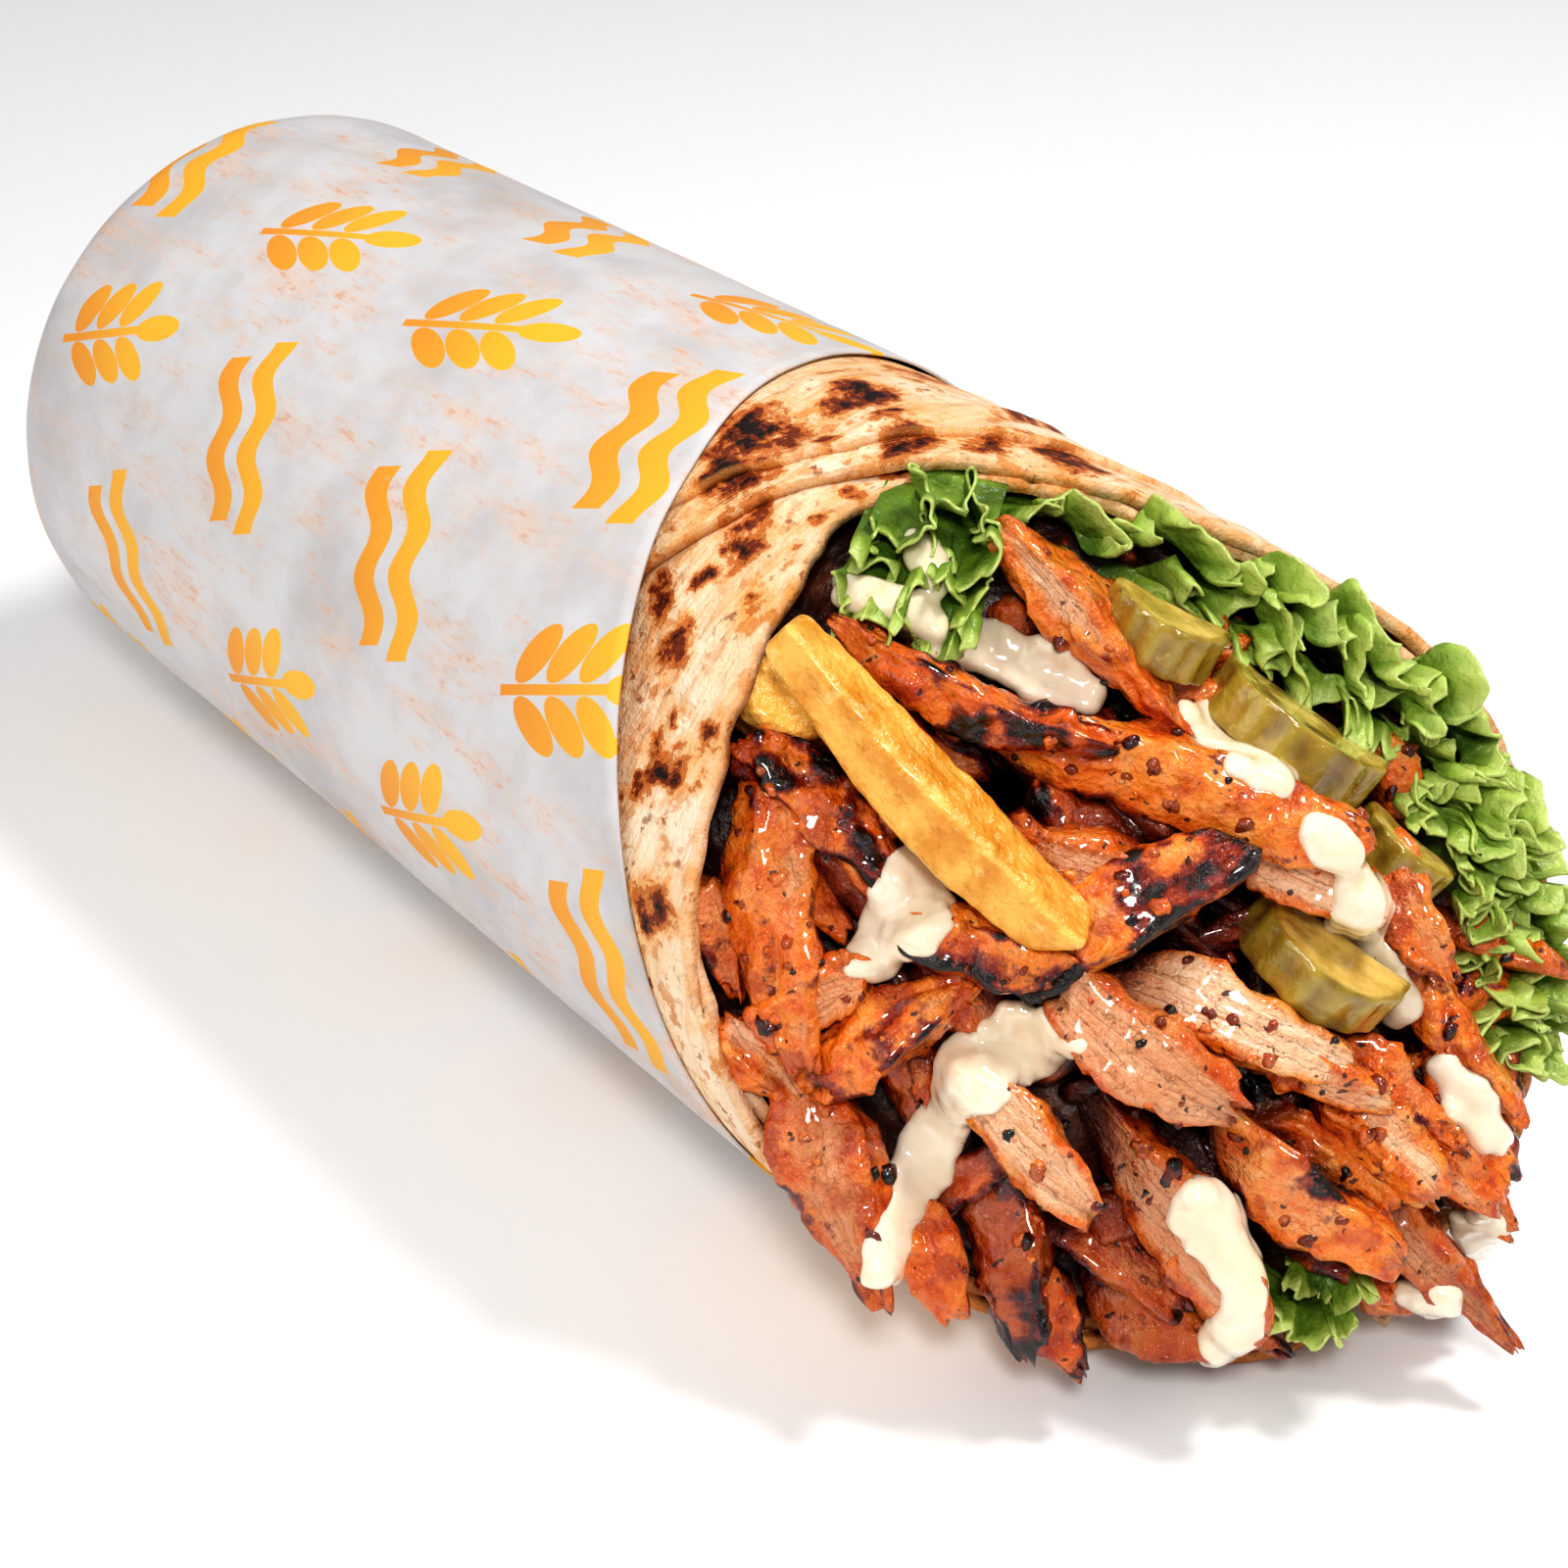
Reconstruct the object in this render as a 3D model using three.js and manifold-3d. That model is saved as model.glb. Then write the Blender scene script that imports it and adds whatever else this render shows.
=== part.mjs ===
// A rolled chicken gyro wrap lying on its side, in millimetres, +Z up.
// Thin flatbread is rolled in a spiral round a heap of grilled chicken, with fries, pickles, curly
// lettuce and thick white sauce at the open end, and a sheet of paper holds the closed half.
// The roll is laid out along +X from its closed end, with the open end slanting up towards -Y.
import * as THREE from "three";
import { mergeVertices } from "three/addons/utils/BufferGeometryUtils.js";
import Module from "manifold-3d";

const wasm = await Module();
wasm.setup();

// Driving dimensions of the roll
const END_RADIUS = 34; // paper's outer radius at the closed end
const RIM_RADIUS = 36; // and at the paper's rim
const PAPER_LENGTH = 112; // closed end to the middle of the paper's rim
const PAPER_THICKNESS = 0.5;
const FLAT_DEPTH = 0.9; // how far the underside is pressed flat by the roll's weight
const BREAD_START = 9; // where the flatbread begins inside the closed end
const BREAD_THICKNESS = 1.3;
const FOLD_THICKNESS = 1.1; // of the edge of bread folded back over the outer turn
const GAP = 0.3; // clear space between pieces that touch
const TURN_STEP = 7.5; // degrees between the facets round the roll

// The paper's rim is a slanted cut: x = PAPER_LENGTH + across * y + up * (z - RIM_RADIUS)
const PAPER_RIM = { across: -0.25, up: -0.46 };

// The bread's rim, as its distance from the closed end every 30 degrees from the underside,
// up the -Y side, over the top and down the +Y side
const BREAD_RIM = [166, 152, 140, 128.5, 122, 117.5, 116, 136, 152, 161, 167, 169, 166];

// Angles up from the -Y side that the rolled sheet runs through, from its outer edge inwards
const SHEET_END = 740;
const OUTER_EDGE = { hidden: 38, atRim: 90, from: 96, to: 117 }; // outer edge, slanting to the rim
const FOLD = { from: 55, to: 255, edge: 105.6, at: 75, slope: 1 / 2.8 }; // folded-back edge

// The open end's face: a frame whose X runs across the heap, Y up it and Z out of it
const FACE_CENTRE = new THREE.Vector3(141.2, 0, 35.7);
const FACE_AZIMUTH = 50; // degrees from -Y towards +X that the face looks
const FACE_ELEVATION = 35; // degrees that it looks up
const HEAP_REACH = 40; // radius of the heap on the face
const HEAP_RISE = 9; // how far its middle stands out
const HEAP_LEAN = { across: -0.1, up: 0.03, middle: 3 };
const CORE_DROP = 1; // the core's front lies this far under the heap's surface

// Chicken slices that show: across, up, turn in degrees, length, width, lift off the heap
const SLICE_THICKNESS = 6.5;
const SLICES = [
  [-3.5, 23.5, -49, 24, 7, 1.5],
  [-13.5, 18, -25, 25, 5.5, 1.5],
  [4.5, 11.5, -19, 33, 8, 1.5],
  [13.5, 4.5, -32, 17, 7, 1],
  [0, 1, 33, 21, 8.5, 1],
  [-11, -2.5, -15, 13.5, 8, 0.5],
  [-29, 0.5, -84, 27, 9, -1.5],
  [-24.5, 9, -41, 19, 7.5, -1.5],
  [-19.5, -9, 35, 18, 8, 0],
  [-23, -23, -73, 20, 8.5, 0],
  [-8.5, -18.5, -51, 16.5, 8, 1.5],
  [5, -24.5, -55, 25, 9, 1],
  [1.5, -10.5, -32, 18, 8, 1.5],
  [8, -9, -19, 23, 7, 1],
  [15, -23, -40, 21, 7.5, 1.5],
  [25, -26, -50, 30, 6.5, 1],
  [24, -15.5, -37, 15.5, 5.5, 1],
  [18, -20.5, -36, 16.5, 6.5, -0.5],
  [31.5, -24, -46, 12, 6.5, -1],
  [29.5, -10.5, -58, 15.5, 5.5, -0.5],
  [24.5, 0, -60, 12.5, 6, 0],
  [-9.5, -29.5, -77, 16.5, 8.5, -0.5],
  [0.5, -29, -36, 14.5, 7.5, -1.5],
  [26.5, -32.5, -22, 12.5, 6.5, -1],
  [-30.5, -12.5, -50, 9.5, 7.5, -1],
  [-33.5, -2, -80, 9.5, 6, -2],
];
const SLICE_STEPS = [4, 1, 1]; // facets along, across and through a slice
const SLICE_TAPER = 0.5; // how much a slice narrows to its ends
const SLICE_JITTER = 0.45; // unevenness of a slice's corners
const SLICE_SEED = 7;

// Sauce runs: each is a chain of drops given as across, up, radius and length along the run
const SAUCE_SQUASH = 0.45; // how flat a drop lies on the chicken
const SAUCE_LIFT = 2.8;
const SAUCE_RUNS = [
  [[-18, 25, 5.5], [-12.5, 21.5, 5], [-8, 19.5, 4]],
  [[-15.5, 5.5, 3.5], [-18, 1.5, 4.5], [-20, -2, 4]],
  [[-9.5, -10, 5.5], [-14.5, -14, 4.5], [-17, -20, 4.5], [-20.5, -26.5, 3.5]],
  [[7.5, -26, 5], [11, -31.5, 4], [8.5, -35.5, 3.5]],
  [[6, 16, 3.5], [11, 13, 3.5]],
  [[18, 4.5, 4], [21.5, -2, 4], [24.5, -7, 3.5]],
  [[30, -14.5, 3.5], [32.5, -18, 3]],
];

// Fries: across, up, out of the face, turn, length; square in section
const FRY_WIDTH = 7.8;
const FRIES = {
  fry_long: { across: -17.5, up: 11, out: 15, turn: -47.5, tilt: -4, length: 34 },
  fry_short: { across: -28.5, up: 19, out: 3, turn: -35, tilt: 0, length: 12 },
};

// Pickle slices: half rounds cut across a pickled cucumber
const PICKLE_THICKNESS = 4.6;
const PICKLES = {
  pickle_1: { across: 3, up: 23.5, out: 11.5, radius: 5.5, turn: -28, tilt: 118 },
  pickle_2: { across: 14.5, up: 15, out: 9.5, radius: 8.5, turn: -36, tilt: 110 },
  pickle_3: { across: 24, up: 4.5, out: 5.5, radius: 5, turn: -42, tilt: 115 },
  pickle_4: { across: 16.5, up: -4.5, out: 10, radius: 7.5, turn: -37, tilt: 125 },
};

// Curly lettuce: leaves against the bread on the far side of the opening
const LEAF_THICKNESS = 0.8;
const LEAF_INSET = 6.2; // from the paper's outside to the leaf where it lies in the roll
const LEAF_DEPTH = 12; // how far a leaf reaches into the roll
const LEAVES = {
  lettuce_top: { from: 94, to: 146, reach: 9, flare: 1.5, ruffle: 3.6, frills: 6, phase: 0.4 },
  lettuce_far: { from: 150, to: 207, reach: 6, flare: -0.8, ruffle: 3, frills: 7, phase: 2.1 },
};
// Loose pieces of leaf on the face: across, up, turn, width, height
const LEAF_DROOP = 2.5; // how far a loose piece hangs at its free edge
const LEAF_BITS = {
  lettuce_front: { across: -14.5, up: 29.5, out: 5.5, turn: 24, tilt: -30, width: 17, height: 13,
    ruffle: 1.9, frills: 3 },
  lettuce_bottom: { across: 17, up: -34, out: 4.5, turn: 20, tilt: 10, width: 8, height: 7,
    ruffle: 1.2, frills: 2 },
};

const COLOURS = {
  paper: 0xeeebe8,
  bread: 0xe3c396,
  chicken: 0xc4682c,
  fry: 0xe0a02e,
  pickle: 0x9a8a24,
  lettuce: 0x6fae2c,
};

const radians = THREE.MathUtils.degToRad;
const smoothstep = THREE.MathUtils.smoothstep;

// Seeded random numbers from 0 to 1
function randomFrom(seed) {
  let state = seed;
  return () => {
    state = (state + 0x6d2b79f5) | 0;
    let t = Math.imul(state ^ (state >>> 15), 1 | state);
    t = (t + Math.imul(t ^ (t >>> 7), 61 | t)) ^ t;
    return ((t ^ (t >>> 14)) >>> 0) / 4294967296;
  };
}

// The same geometry with shared vertices merged and each moved by a function
function reshaped(geometry, move) {
  geometry.deleteAttribute("normal");
  geometry.deleteAttribute("uv");
  const merged = mergeVertices(geometry, 1e-4);
  const position = merged.getAttribute("position");
  const point = new THREE.Vector3();
  for (let i = 0; i < position.count; i++) {
    point.fromBufferAttribute(position, i);
    position.setXYZ(i, ...move(point).toArray());
  }
  return merged;
}

const asIs = (point) => point;

function solidOf(geometry) {
  const merged = reshaped(geometry.clone(), asIs);
  return new wasm.Manifold(new wasm.Mesh({
    numProp: 3,
    vertProperties: new Float32Array(merged.getAttribute("position").array),
    triVerts: new Uint32Array(merged.index.array),
  }));
}

function geometryOf(solid) {
  const mesh = solid.getMesh();
  const geometry = new THREE.BufferGeometry();
  geometry.setAttribute("position", new THREE.BufferAttribute(mesh.vertProperties, 3));
  geometry.setIndex(new THREE.BufferAttribute(mesh.triVerts, 1));
  return geometry;
}

// A thin sheet of even thickness over a surface of u and v from 0 to 1.
// Both faces have the same triangles, and a wall runs round the border.
function sheet(columns, rows, thickness, surface) {
  const plane = new THREE.PlaneGeometry(1, 1, columns, rows);
  const flat = plane.getAttribute("position");
  const count = flat.count;
  const step = 1e-3;
  const position = new Float32Array(count * 6);
  for (let i = 0; i < count; i++) {
    const u = flat.getX(i) + 0.5;
    const v = flat.getY(i) + 0.5;
    const along = surface(Math.min(u + step, 1), v).sub(surface(Math.max(u - step, 0), v));
    const over = surface(u, Math.min(v + step, 1)).sub(surface(u, Math.max(v - step, 0)));
    const normal = along.cross(over).normalize();
    const middle = surface(u, v);
    middle.clone().addScaledVector(normal, thickness / 2).toArray(position, i * 3);
    middle.addScaledVector(normal, -thickness / 2).toArray(position, (count + i) * 3);
  }
  const top = Array.from(plane.index.array);
  const index = [...top];
  for (let i = 0; i < top.length; i += 3) {
    index.push(count + top[i], count + top[i + 2], count + top[i + 1]);
  }
  const wide = columns + 1;
  const border = [];
  for (let i = 0; i < columns; i++) border.push(i);
  for (let j = 0; j < rows; j++) border.push(columns + j * wide);
  for (let i = columns; i > 0; i--) border.push(rows * wide + i);
  for (let j = rows; j > 0; j--) border.push(j * wide);
  border.forEach((a, k) => {
    const b = border[(k + 1) % border.length];
    index.push(a, b, count + b, a, count + b, count + a);
  });
  const geometry = new THREE.BufferGeometry();
  geometry.setAttribute("position", new THREE.BufferAttribute(position, 3));
  geometry.setIndex(index);
  return geometry;
}

const radiusAt = (x) => END_RADIUS + ((RIM_RADIUS - END_RADIUS) * x) / PAPER_LENGTH;

// A point of the roll at x, a depth in from the paper's outside, and an angle up from the -Y side.
// The underside is pressed flat, and every layer above it with it.
function rollPoint(x, depth, angle) {
  const outer = radiusAt(x);
  const radius = outer - depth;
  const z = outer - FLAT_DEPTH + radius * Math.sin(angle);
  const pressed = Math.max(0, depth - z) * smoothstep(radius, 0.4 * outer, 0.7 * outer);
  return new THREE.Vector3(x, -radius * Math.cos(angle), z + pressed);
}

// Where the paper's slanted rim meets the roll at an angle
function paperRimAt(angle) {
  const near = rollPoint(PAPER_LENGTH, 0, angle);
  return PAPER_LENGTH + PAPER_RIM.across * near.y + PAPER_RIM.up * (near.z - RIM_RADIUS);
}

const breadRim = new THREE.SplineCurve(BREAD_RIM.map((x, i) => new THREE.Vector2(i, x)));

// How far the bread reaches at an angle in degrees
function breadRimAt(degrees) {
  const round = THREE.MathUtils.euclideanModulo(degrees + 90, 360) / 360;
  return breadRim.getPoint(round).y;
}

// The paper: a lathe profile closed at one end, laid along the roll with a slanted rim and a
// pleated, tucked end.
function paperGeometry() {
  const outline = [[0, -1.5], [10, -1.5], [20, -1], [28, 0], [31.5, 1.5], [33.4, 4], [END_RADIUS, 8]];
  const stations = [40, 76, PAPER_LENGTH];
  const wall = [...outline, ...stations.map((x) => [END_RADIUS, x])];
  const inside = wall.map(([radius, x]) => [
    Math.max(0, radius - PAPER_THICKNESS),
    x < outline.at(-1)[1] ? x + PAPER_THICKNESS : x,
  ]);
  const profile = [...wall, ...inside.reverse()].map(([radius, x]) => new THREE.Vector2(radius, x));
  const pleats = 9;
  const pleatDepth = 0.7;
  const lathe = new THREE.LatheGeometry(profile, 360 / TURN_STEP);
  return reshaped(lathe, (p) => {
    const radius = Math.hypot(p.x, p.z);
    const angle = Math.atan2(p.z, p.x);
    const share = Math.max(0, p.y - outline.at(-1)[1]) / (PAPER_LENGTH - outline.at(-1)[1]);
    const slant = share * (paperRimAt(angle) - PAPER_LENGTH);
    const onEnd = smoothstep(radius, 4, 12) * (1 - smoothstep(radius, 24, 32));
    const pleat = pleatDepth * onEnd * Math.cos(pleats * angle + radius / 9);
    const x = p.y + slant + (p.y < 4 ? pleat : 0);
    return rollPoint(x, END_RADIUS - radius, angle);
  });
}

// Depth of the bread's outer face under the paper's outside; past the paper it fills out flush
function breadSkin(x, angle) {
  const free = smoothstep(x - paperRimAt(angle), 0.5, 4);
  return THREE.MathUtils.lerp(PAPER_THICKNESS + GAP, GAP, free);
}

// How far the rolled sheet lies under that face: below the fold, then outermost, then under itself
function sheetDrop(degrees) {
  const below = FOLD_THICKNESS;
  const twice = FOLD_THICKNESS + BREAD_THICKNESS + GAP;
  const once = BREAD_THICKNESS + GAP;
  if (degrees < 360) return below * (1 - smoothstep(degrees, 250, 320));
  if (degrees < 600) return twice * smoothstep(degrees, 366, 397);
  return twice + (once - twice) * smoothstep(degrees, 610, 680);
}

// Distance along the bread for a share from 0 to 1, with one row of facets just past the paper
function breadAlong(share, angle, edge) {
  const mark = Math.min(paperRimAt(angle) + 0.5, edge - 1);
  if (share < 1 / 3) return THREE.MathUtils.lerp(BREAD_START, mark, share * 3);
  return THREE.MathUtils.lerp(mark, edge, (share - 1 / 3) * 1.5);
}

const edgeWave = (degrees) => 0.5 * Math.sin(radians(5 * degrees)) * Math.sin(radians(2.3 * degrees));

// The flatbread: a sheet rolled up from its slanting outer edge inwards, with one edge folded back
// over the outer turn.
function breadSolid() {
  const rows = 6;
  const columns = Math.round((SHEET_END - OUTER_EDGE.atRim) / TURN_STEP);
  const rolled = sheet(columns, rows, BREAD_THICKNESS, (u, v) => {
    const nominal = THREE.MathUtils.lerp(OUTER_EDGE.atRim, SHEET_END, u);
    const edge = breadRimAt(nominal) - smoothstep(nominal, 560, 660) + edgeWave(nominal);
    const x = breadAlong(v, radians(nominal), edge);
    const slanting = smoothstep(x, OUTER_EDGE.from, OUTER_EDGE.to);
    const start = THREE.MathUtils.lerp(OUTER_EDGE.hidden, OUTER_EDGE.atRim, slanting);
    const degrees = nominal - (OUTER_EDGE.atRim - start) * (1 - smoothstep(u, 0, 0.2));
    const depth = breadSkin(x, radians(degrees)) + sheetDrop(degrees) + BREAD_THICKNESS / 2;
    return rollPoint(x, depth, radians(degrees));
  });
  const foldColumns = Math.round((FOLD.to - FOLD.from) / TURN_STEP);
  const sink = 0.25; // the fold is pressed this far into the turn below it
  const folded = sheet(foldColumns, rows, FOLD_THICKNESS, (u, v) => {
    const degrees = THREE.MathUtils.lerp(FOLD.from, FOLD.to, u);
    const edge = FOLD.edge + (degrees - FOLD.at) * FOLD.slope + edgeWave(3 * degrees);
    const x = breadAlong(v, radians(degrees), edge);
    return rollPoint(x, breadSkin(x, radians(degrees)) + FOLD_THICKNESS / 2 + sink, radians(degrees));
  });
  return largest(facingOut(rolled).add(facingOut(folded)));
}

// The biggest body of a solid, without loose scraps
function largest(solid) {
  const bodies = solid.decompose();
  bodies.sort((a, b) => b.volume() - a.volume());
  return bodies[0];
}

// The face's frame in the roll
function faceMatrix() {
  const azimuth = radians(FACE_AZIMUTH);
  const elevation = radians(FACE_ELEVATION);
  const out = new THREE.Vector3(
    Math.sin(azimuth) * Math.cos(elevation),
    -Math.cos(azimuth) * Math.cos(elevation),
    Math.sin(elevation),
  );
  const across = new THREE.Vector3(Math.cos(azimuth), Math.sin(azimuth), 0);
  const up = out.clone().cross(across);
  return new THREE.Matrix4().makeBasis(across, up, out).setPosition(FACE_CENTRE);
}

const FACE = faceMatrix();

// How far the heap stands out of the face at a place on it
function heapAt(across, up) {
  const far = Math.min(2, (across * across + up * up) / (HEAP_REACH * HEAP_REACH));
  return HEAP_LEAN.middle + HEAP_LEAN.across * across + HEAP_LEAN.up * up + HEAP_RISE * (1 - far);
}

// A placement on the face: turned in it, tilted out of it
function placeOnFace({ across, up, out, turn = 0, tilt = 0 }) {
  const spin = new THREE.Euler(0, 0, radians(turn));
  const lean = new THREE.Euler(radians(tilt), 0, 0);
  return FACE.clone()
    .multiply(new THREE.Matrix4().makeTranslation(across, up, out))
    .multiply(new THREE.Matrix4().makeRotationFromEuler(spin))
    .multiply(new THREE.Matrix4().makeRotationFromEuler(lean));
}

// The space that the heap may fill: the roll's inside, and past the bread's rim up to a margin
// inside the paper's width.
function heapRoom(pastRim) {
  const inset = PAPER_THICKNESS + GAP + FOLD_THICKNESS + 2 * (BREAD_THICKNESS + GAP);
  const margin = 0.6;
  const end = 200;
  const clear = 1.1; // clear of the bread's rim
  const rows = [
    (degrees) => [BREAD_START - 2, inset],
    (degrees) => [breadRimAt(degrees) + clear, inset],
    (degrees) => [breadRimAt(degrees) + clear, pastRim ? margin : inset],
    (degrees) => [end, pastRim ? margin : inset],
  ];
  const profile = [[0, 0], [1, 0], [1, 1], [1, 2], [1, 3], [0, 3]];
  const tube = new THREE.LatheGeometry(profile.map(([r, y]) => new THREE.Vector2(r, y)), 36);
  const straight = 145; // past here the roll keeps its width
  return facingOut(reshaped(tube, (p) => {
    const angle = Math.atan2(p.z, p.x);
    const [x, depth] = rows[Math.round(p.y)](THREE.MathUtils.radToDeg(angle));
    const outer = radiusAt(Math.min(x, straight));
    const radius = Math.hypot(p.x, p.z) * (outer - depth);
    return rollPoint(Math.min(x, straight), outer - radius, angle).setX(x);
  }));
}

// Everything under the heap's surface
function underHeap() {
  const depth = 300;
  const rings = [depth, 54, 36, 18, 0].map((radius) => new THREE.Vector2(radius, 0));
  const block = [new THREE.Vector2(0, -depth), new THREE.Vector2(depth, -depth), ...rings];
  const dome = reshaped(new THREE.LatheGeometry(block, 16), (p) => {
    const height = p.y < 0 ? p.y : heapAt(p.x, p.z) - CORE_DROP;
    return new THREE.Vector3(p.x, p.z, height);
  });
  return facingOut(dome.applyMatrix4(FACE));
}

// A solid whose faces point outwards, whichever way its geometry was wound
function facingOut(geometry) {
  const solid = solidOf(geometry);
  if (solid.volume() > 0) return solid;
  const flipped = geometry.clone();
  const index = Array.from(flipped.index.array);
  for (let i = 0; i < index.length; i += 3) {
    [index[i + 1], index[i + 2]] = [index[i + 2], index[i + 1]];
  }
  flipped.setIndex(index);
  return solidOf(flipped);
}

// One slice of chicken: an uneven slab that narrows to its ends
function sliceSolid([across, up, turn, length, width, lift], random) {
  const slab = new THREE.BoxGeometry(length, width, SLICE_THICKNESS, ...SLICE_STEPS);
  const shaped = reshaped(slab, (p) => {
    const end = Math.abs(p.x) / (length / 2);
    const narrow = 1 - SLICE_TAPER * end ** 2.5;
    const uneven = () => SLICE_JITTER * (2 * random() - 1);
    return new THREE.Vector3(
      p.x + uneven(),
      p.y * narrow + 2 * uneven(),
      p.z * (0.45 + 0.55 * narrow) + uneven(),
    );
  });
  const out = heapAt(across, up) + lift;
  return solidOf(shaped.applyMatrix4(placeOnFace({ across, up, out, turn })));
}

// One drop of a sauce run, as a flattened ball lying on the heap
function dropSolid([across, up, radius]) {
  const ball = new THREE.SphereGeometry(radius, 7, 4);
  const flat = new THREE.Matrix4().makeScale(1, 1, SAUCE_SQUASH);
  const out = heapAt(across, up) + SAUCE_LIFT;
  return solidOf(ball.applyMatrix4(placeOnFace({ across, up, out }).multiply(flat)));
}

// A fry: a square stick with slightly uneven sides
function fryGeometry({ length }, grow) {
  const width = FRY_WIDTH + 2 * grow;
  const stick = new THREE.BoxGeometry(length + 2 * grow, width, width, 5, 1, 1);
  const bow = 0.6;
  const narrowing = 0.12;
  return reshaped(stick, (p) => {
    const end = (2 * p.x) / length;
    const narrow = 1 - narrowing * end * end;
    return new THREE.Vector3(p.x + 0.12 * p.y, p.y * narrow + bow * end * end, p.z * narrow);
  });
}

// A pickle slice: half a round, with its skin on the curved side
function pickleGeometry({ radius }, grow) {
  const outline = new THREE.Shape();
  outline.absarc(0, -radius / 2, radius + grow, 0, Math.PI, false);
  outline.lineTo(-radius - grow, -radius / 2 - grow);
  outline.lineTo(radius + grow, -radius / 2 - grow);
  const thickness = PICKLE_THICKNESS + 2 * grow;
  const slice = new THREE.ExtrudeGeometry(outline, {
    depth: thickness, bevelEnabled: false, curveSegments: 10,
  });
  return slice.translate(0, 0, -thickness / 2);
}

// A leaf that lies against the bread and ruffles out past its rim
function leafGeometry({ from, to, reach, flare, ruffle, frills, phase }) {
  const columns = frills * 6;
  const rows = 5;
  return sheet(columns, rows, LEAF_THICKNESS, (u, v) => {
    const degrees = THREE.MathUtils.lerp(from, to, u);
    const past = THREE.MathUtils.lerp(-LEAF_DEPTH, reach, v);
    const free = smoothstep(past, 0.5, reach);
    const wave = Math.sin(2 * Math.PI * frills * u + phase) + 0.3 * Math.sin(5 * Math.PI * frills * u);
    const depth = LEAF_INSET - free * (flare + ruffle * wave);
    return rollPoint(breadRimAt(degrees) + past, depth, radians(degrees));
  });
}

// The room that a leaf's ruffles take up, as plain thick sheets inside the roll and past its rim
function leafRoom({ from, to, reach, flare, ruffle }) {
  const ease = 1.5;
  const room = (thickness, inset, start, end) => sheet(12, 1, thickness + 2 * GAP, (u, v) => {
    const degrees = THREE.MathUtils.lerp(from - ease, to + ease, u);
    const past = THREE.MathUtils.lerp(start, end, v);
    return rollPoint(breadRimAt(degrees) + past, inset, radians(degrees));
  });
  const inside = room(LEAF_THICKNESS + 1.4, LEAF_INSET + 0.4, -LEAF_DEPTH - 1, 2);
  const outside = room(LEAF_THICKNESS + 2.7 * ruffle, LEAF_INSET - flare / 2, 1, reach + 1.5);
  return facingOut(inside).add(facingOut(outside));
}

// A loose bit of leaf, ruffled along its lower edge
function leafBitGeometry({ width, height, ruffle, frills }) {
  const columns = frills * 6;
  const rows = 3;
  return sheet(columns, rows, LEAF_THICKNESS, (u, v) => {
    const free = 1 - v;
    const wave = Math.sin(2 * Math.PI * frills * u);
    const spread = 0.75 + 0.25 * free;
    return new THREE.Vector3(
      (u - 0.5) * width * spread,
      (v - 0.5) * height,
      ruffle * wave * (0.25 + 0.75 * free) - LEAF_DROOP * free * free,
    );
  });
}

// The room that a loose bit of leaf takes up
function leafBitRoom({ width, height, ruffle }) {
  const thickness = LEAF_THICKNESS + 2.8 * ruffle + 2 * GAP;
  const ease = 2;
  return sheet(2, 3, thickness, (u, v) => new THREE.Vector3(
    (u - 0.5) * (width + ease),
    (v - 0.5) * (height + ease),
    -LEAF_DROOP * (1 - v) * (1 - v),
  ));
}

const material = (colour, roughness) =>
  new THREE.MeshStandardMaterial({ color: colour, roughness, metalness: 0 });

function named(name, geometry, colour, roughness) {
  const mesh = new THREE.Mesh(geometry, material(colour, roughness));
  mesh.name = name;
  return mesh;
}

// Pieces on the face, each with the room that it takes up in the chicken
function facePieces() {
  const pieces = [];
  const add = (name, shape, room, colour, roughness) => {
    pieces.push({ mesh: named(name, shape, colour, roughness), room });
  };
  for (const [name, spec] of Object.entries(FRIES)) {
    const place = placeOnFace(spec);
    const [shape, room] = [0, GAP].map((grow) => fryGeometry(spec, grow).applyMatrix4(place));
    add(name, shape, facingOut(room), COLOURS.fry, 0.5);
  }
  for (const [name, spec] of Object.entries(PICKLES)) {
    const place = placeOnFace(spec);
    const [shape, room] = [0, GAP].map((grow) => pickleGeometry(spec, grow).applyMatrix4(place));
    add(name, shape, facingOut(room), COLOURS.pickle, 0.25);
  }
  for (const [name, spec] of Object.entries(LEAF_BITS)) {
    const place = placeOnFace({ ...spec, out: heapAt(spec.across, spec.up) + spec.out });
    const shape = leafBitGeometry(spec).applyMatrix4(place);
    add(name, shape, facingOut(leafBitRoom(spec).applyMatrix4(place)), COLOURS.lettuce, 0.4);
  }
  for (const [name, spec] of Object.entries(LEAVES)) {
    add(name, leafGeometry(spec), leafRoom(spec), COLOURS.lettuce, 0.4);
  }
  return pieces;
}

// The heap: core, slices and sauce in one, cut clear of the bread and of each piece on the face
function fillingGeometry(pieces) {
  const random = randomFrom(SLICE_SEED);
  const shown = [
    ...SLICES.map((slice) => sliceSolid(slice, random)),
    ...SAUCE_RUNS.flat().map(dropSolid),
  ];
  const slices = shown.reduce((all, one) => all.add(one)).intersect(heapRoom(true));
  let heap = underHeap().intersect(heapRoom(false)).add(slices);
  for (const { room } of pieces) heap = heap.subtract(room);
  return geometryOf(largest(heap));
}

const roll = new THREE.Group();
const pieces = facePieces();
roll.add(named("paper", geometryOf(facingOut(paperGeometry())), COLOURS.paper, 0.6));
roll.add(named("bread", geometryOf(breadSolid()), COLOURS.bread, 0.8));
roll.add(named("filling", fillingGeometry(pieces), COLOURS.chicken, 0.45));
for (const { mesh } of pieces) roll.add(mesh);

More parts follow.
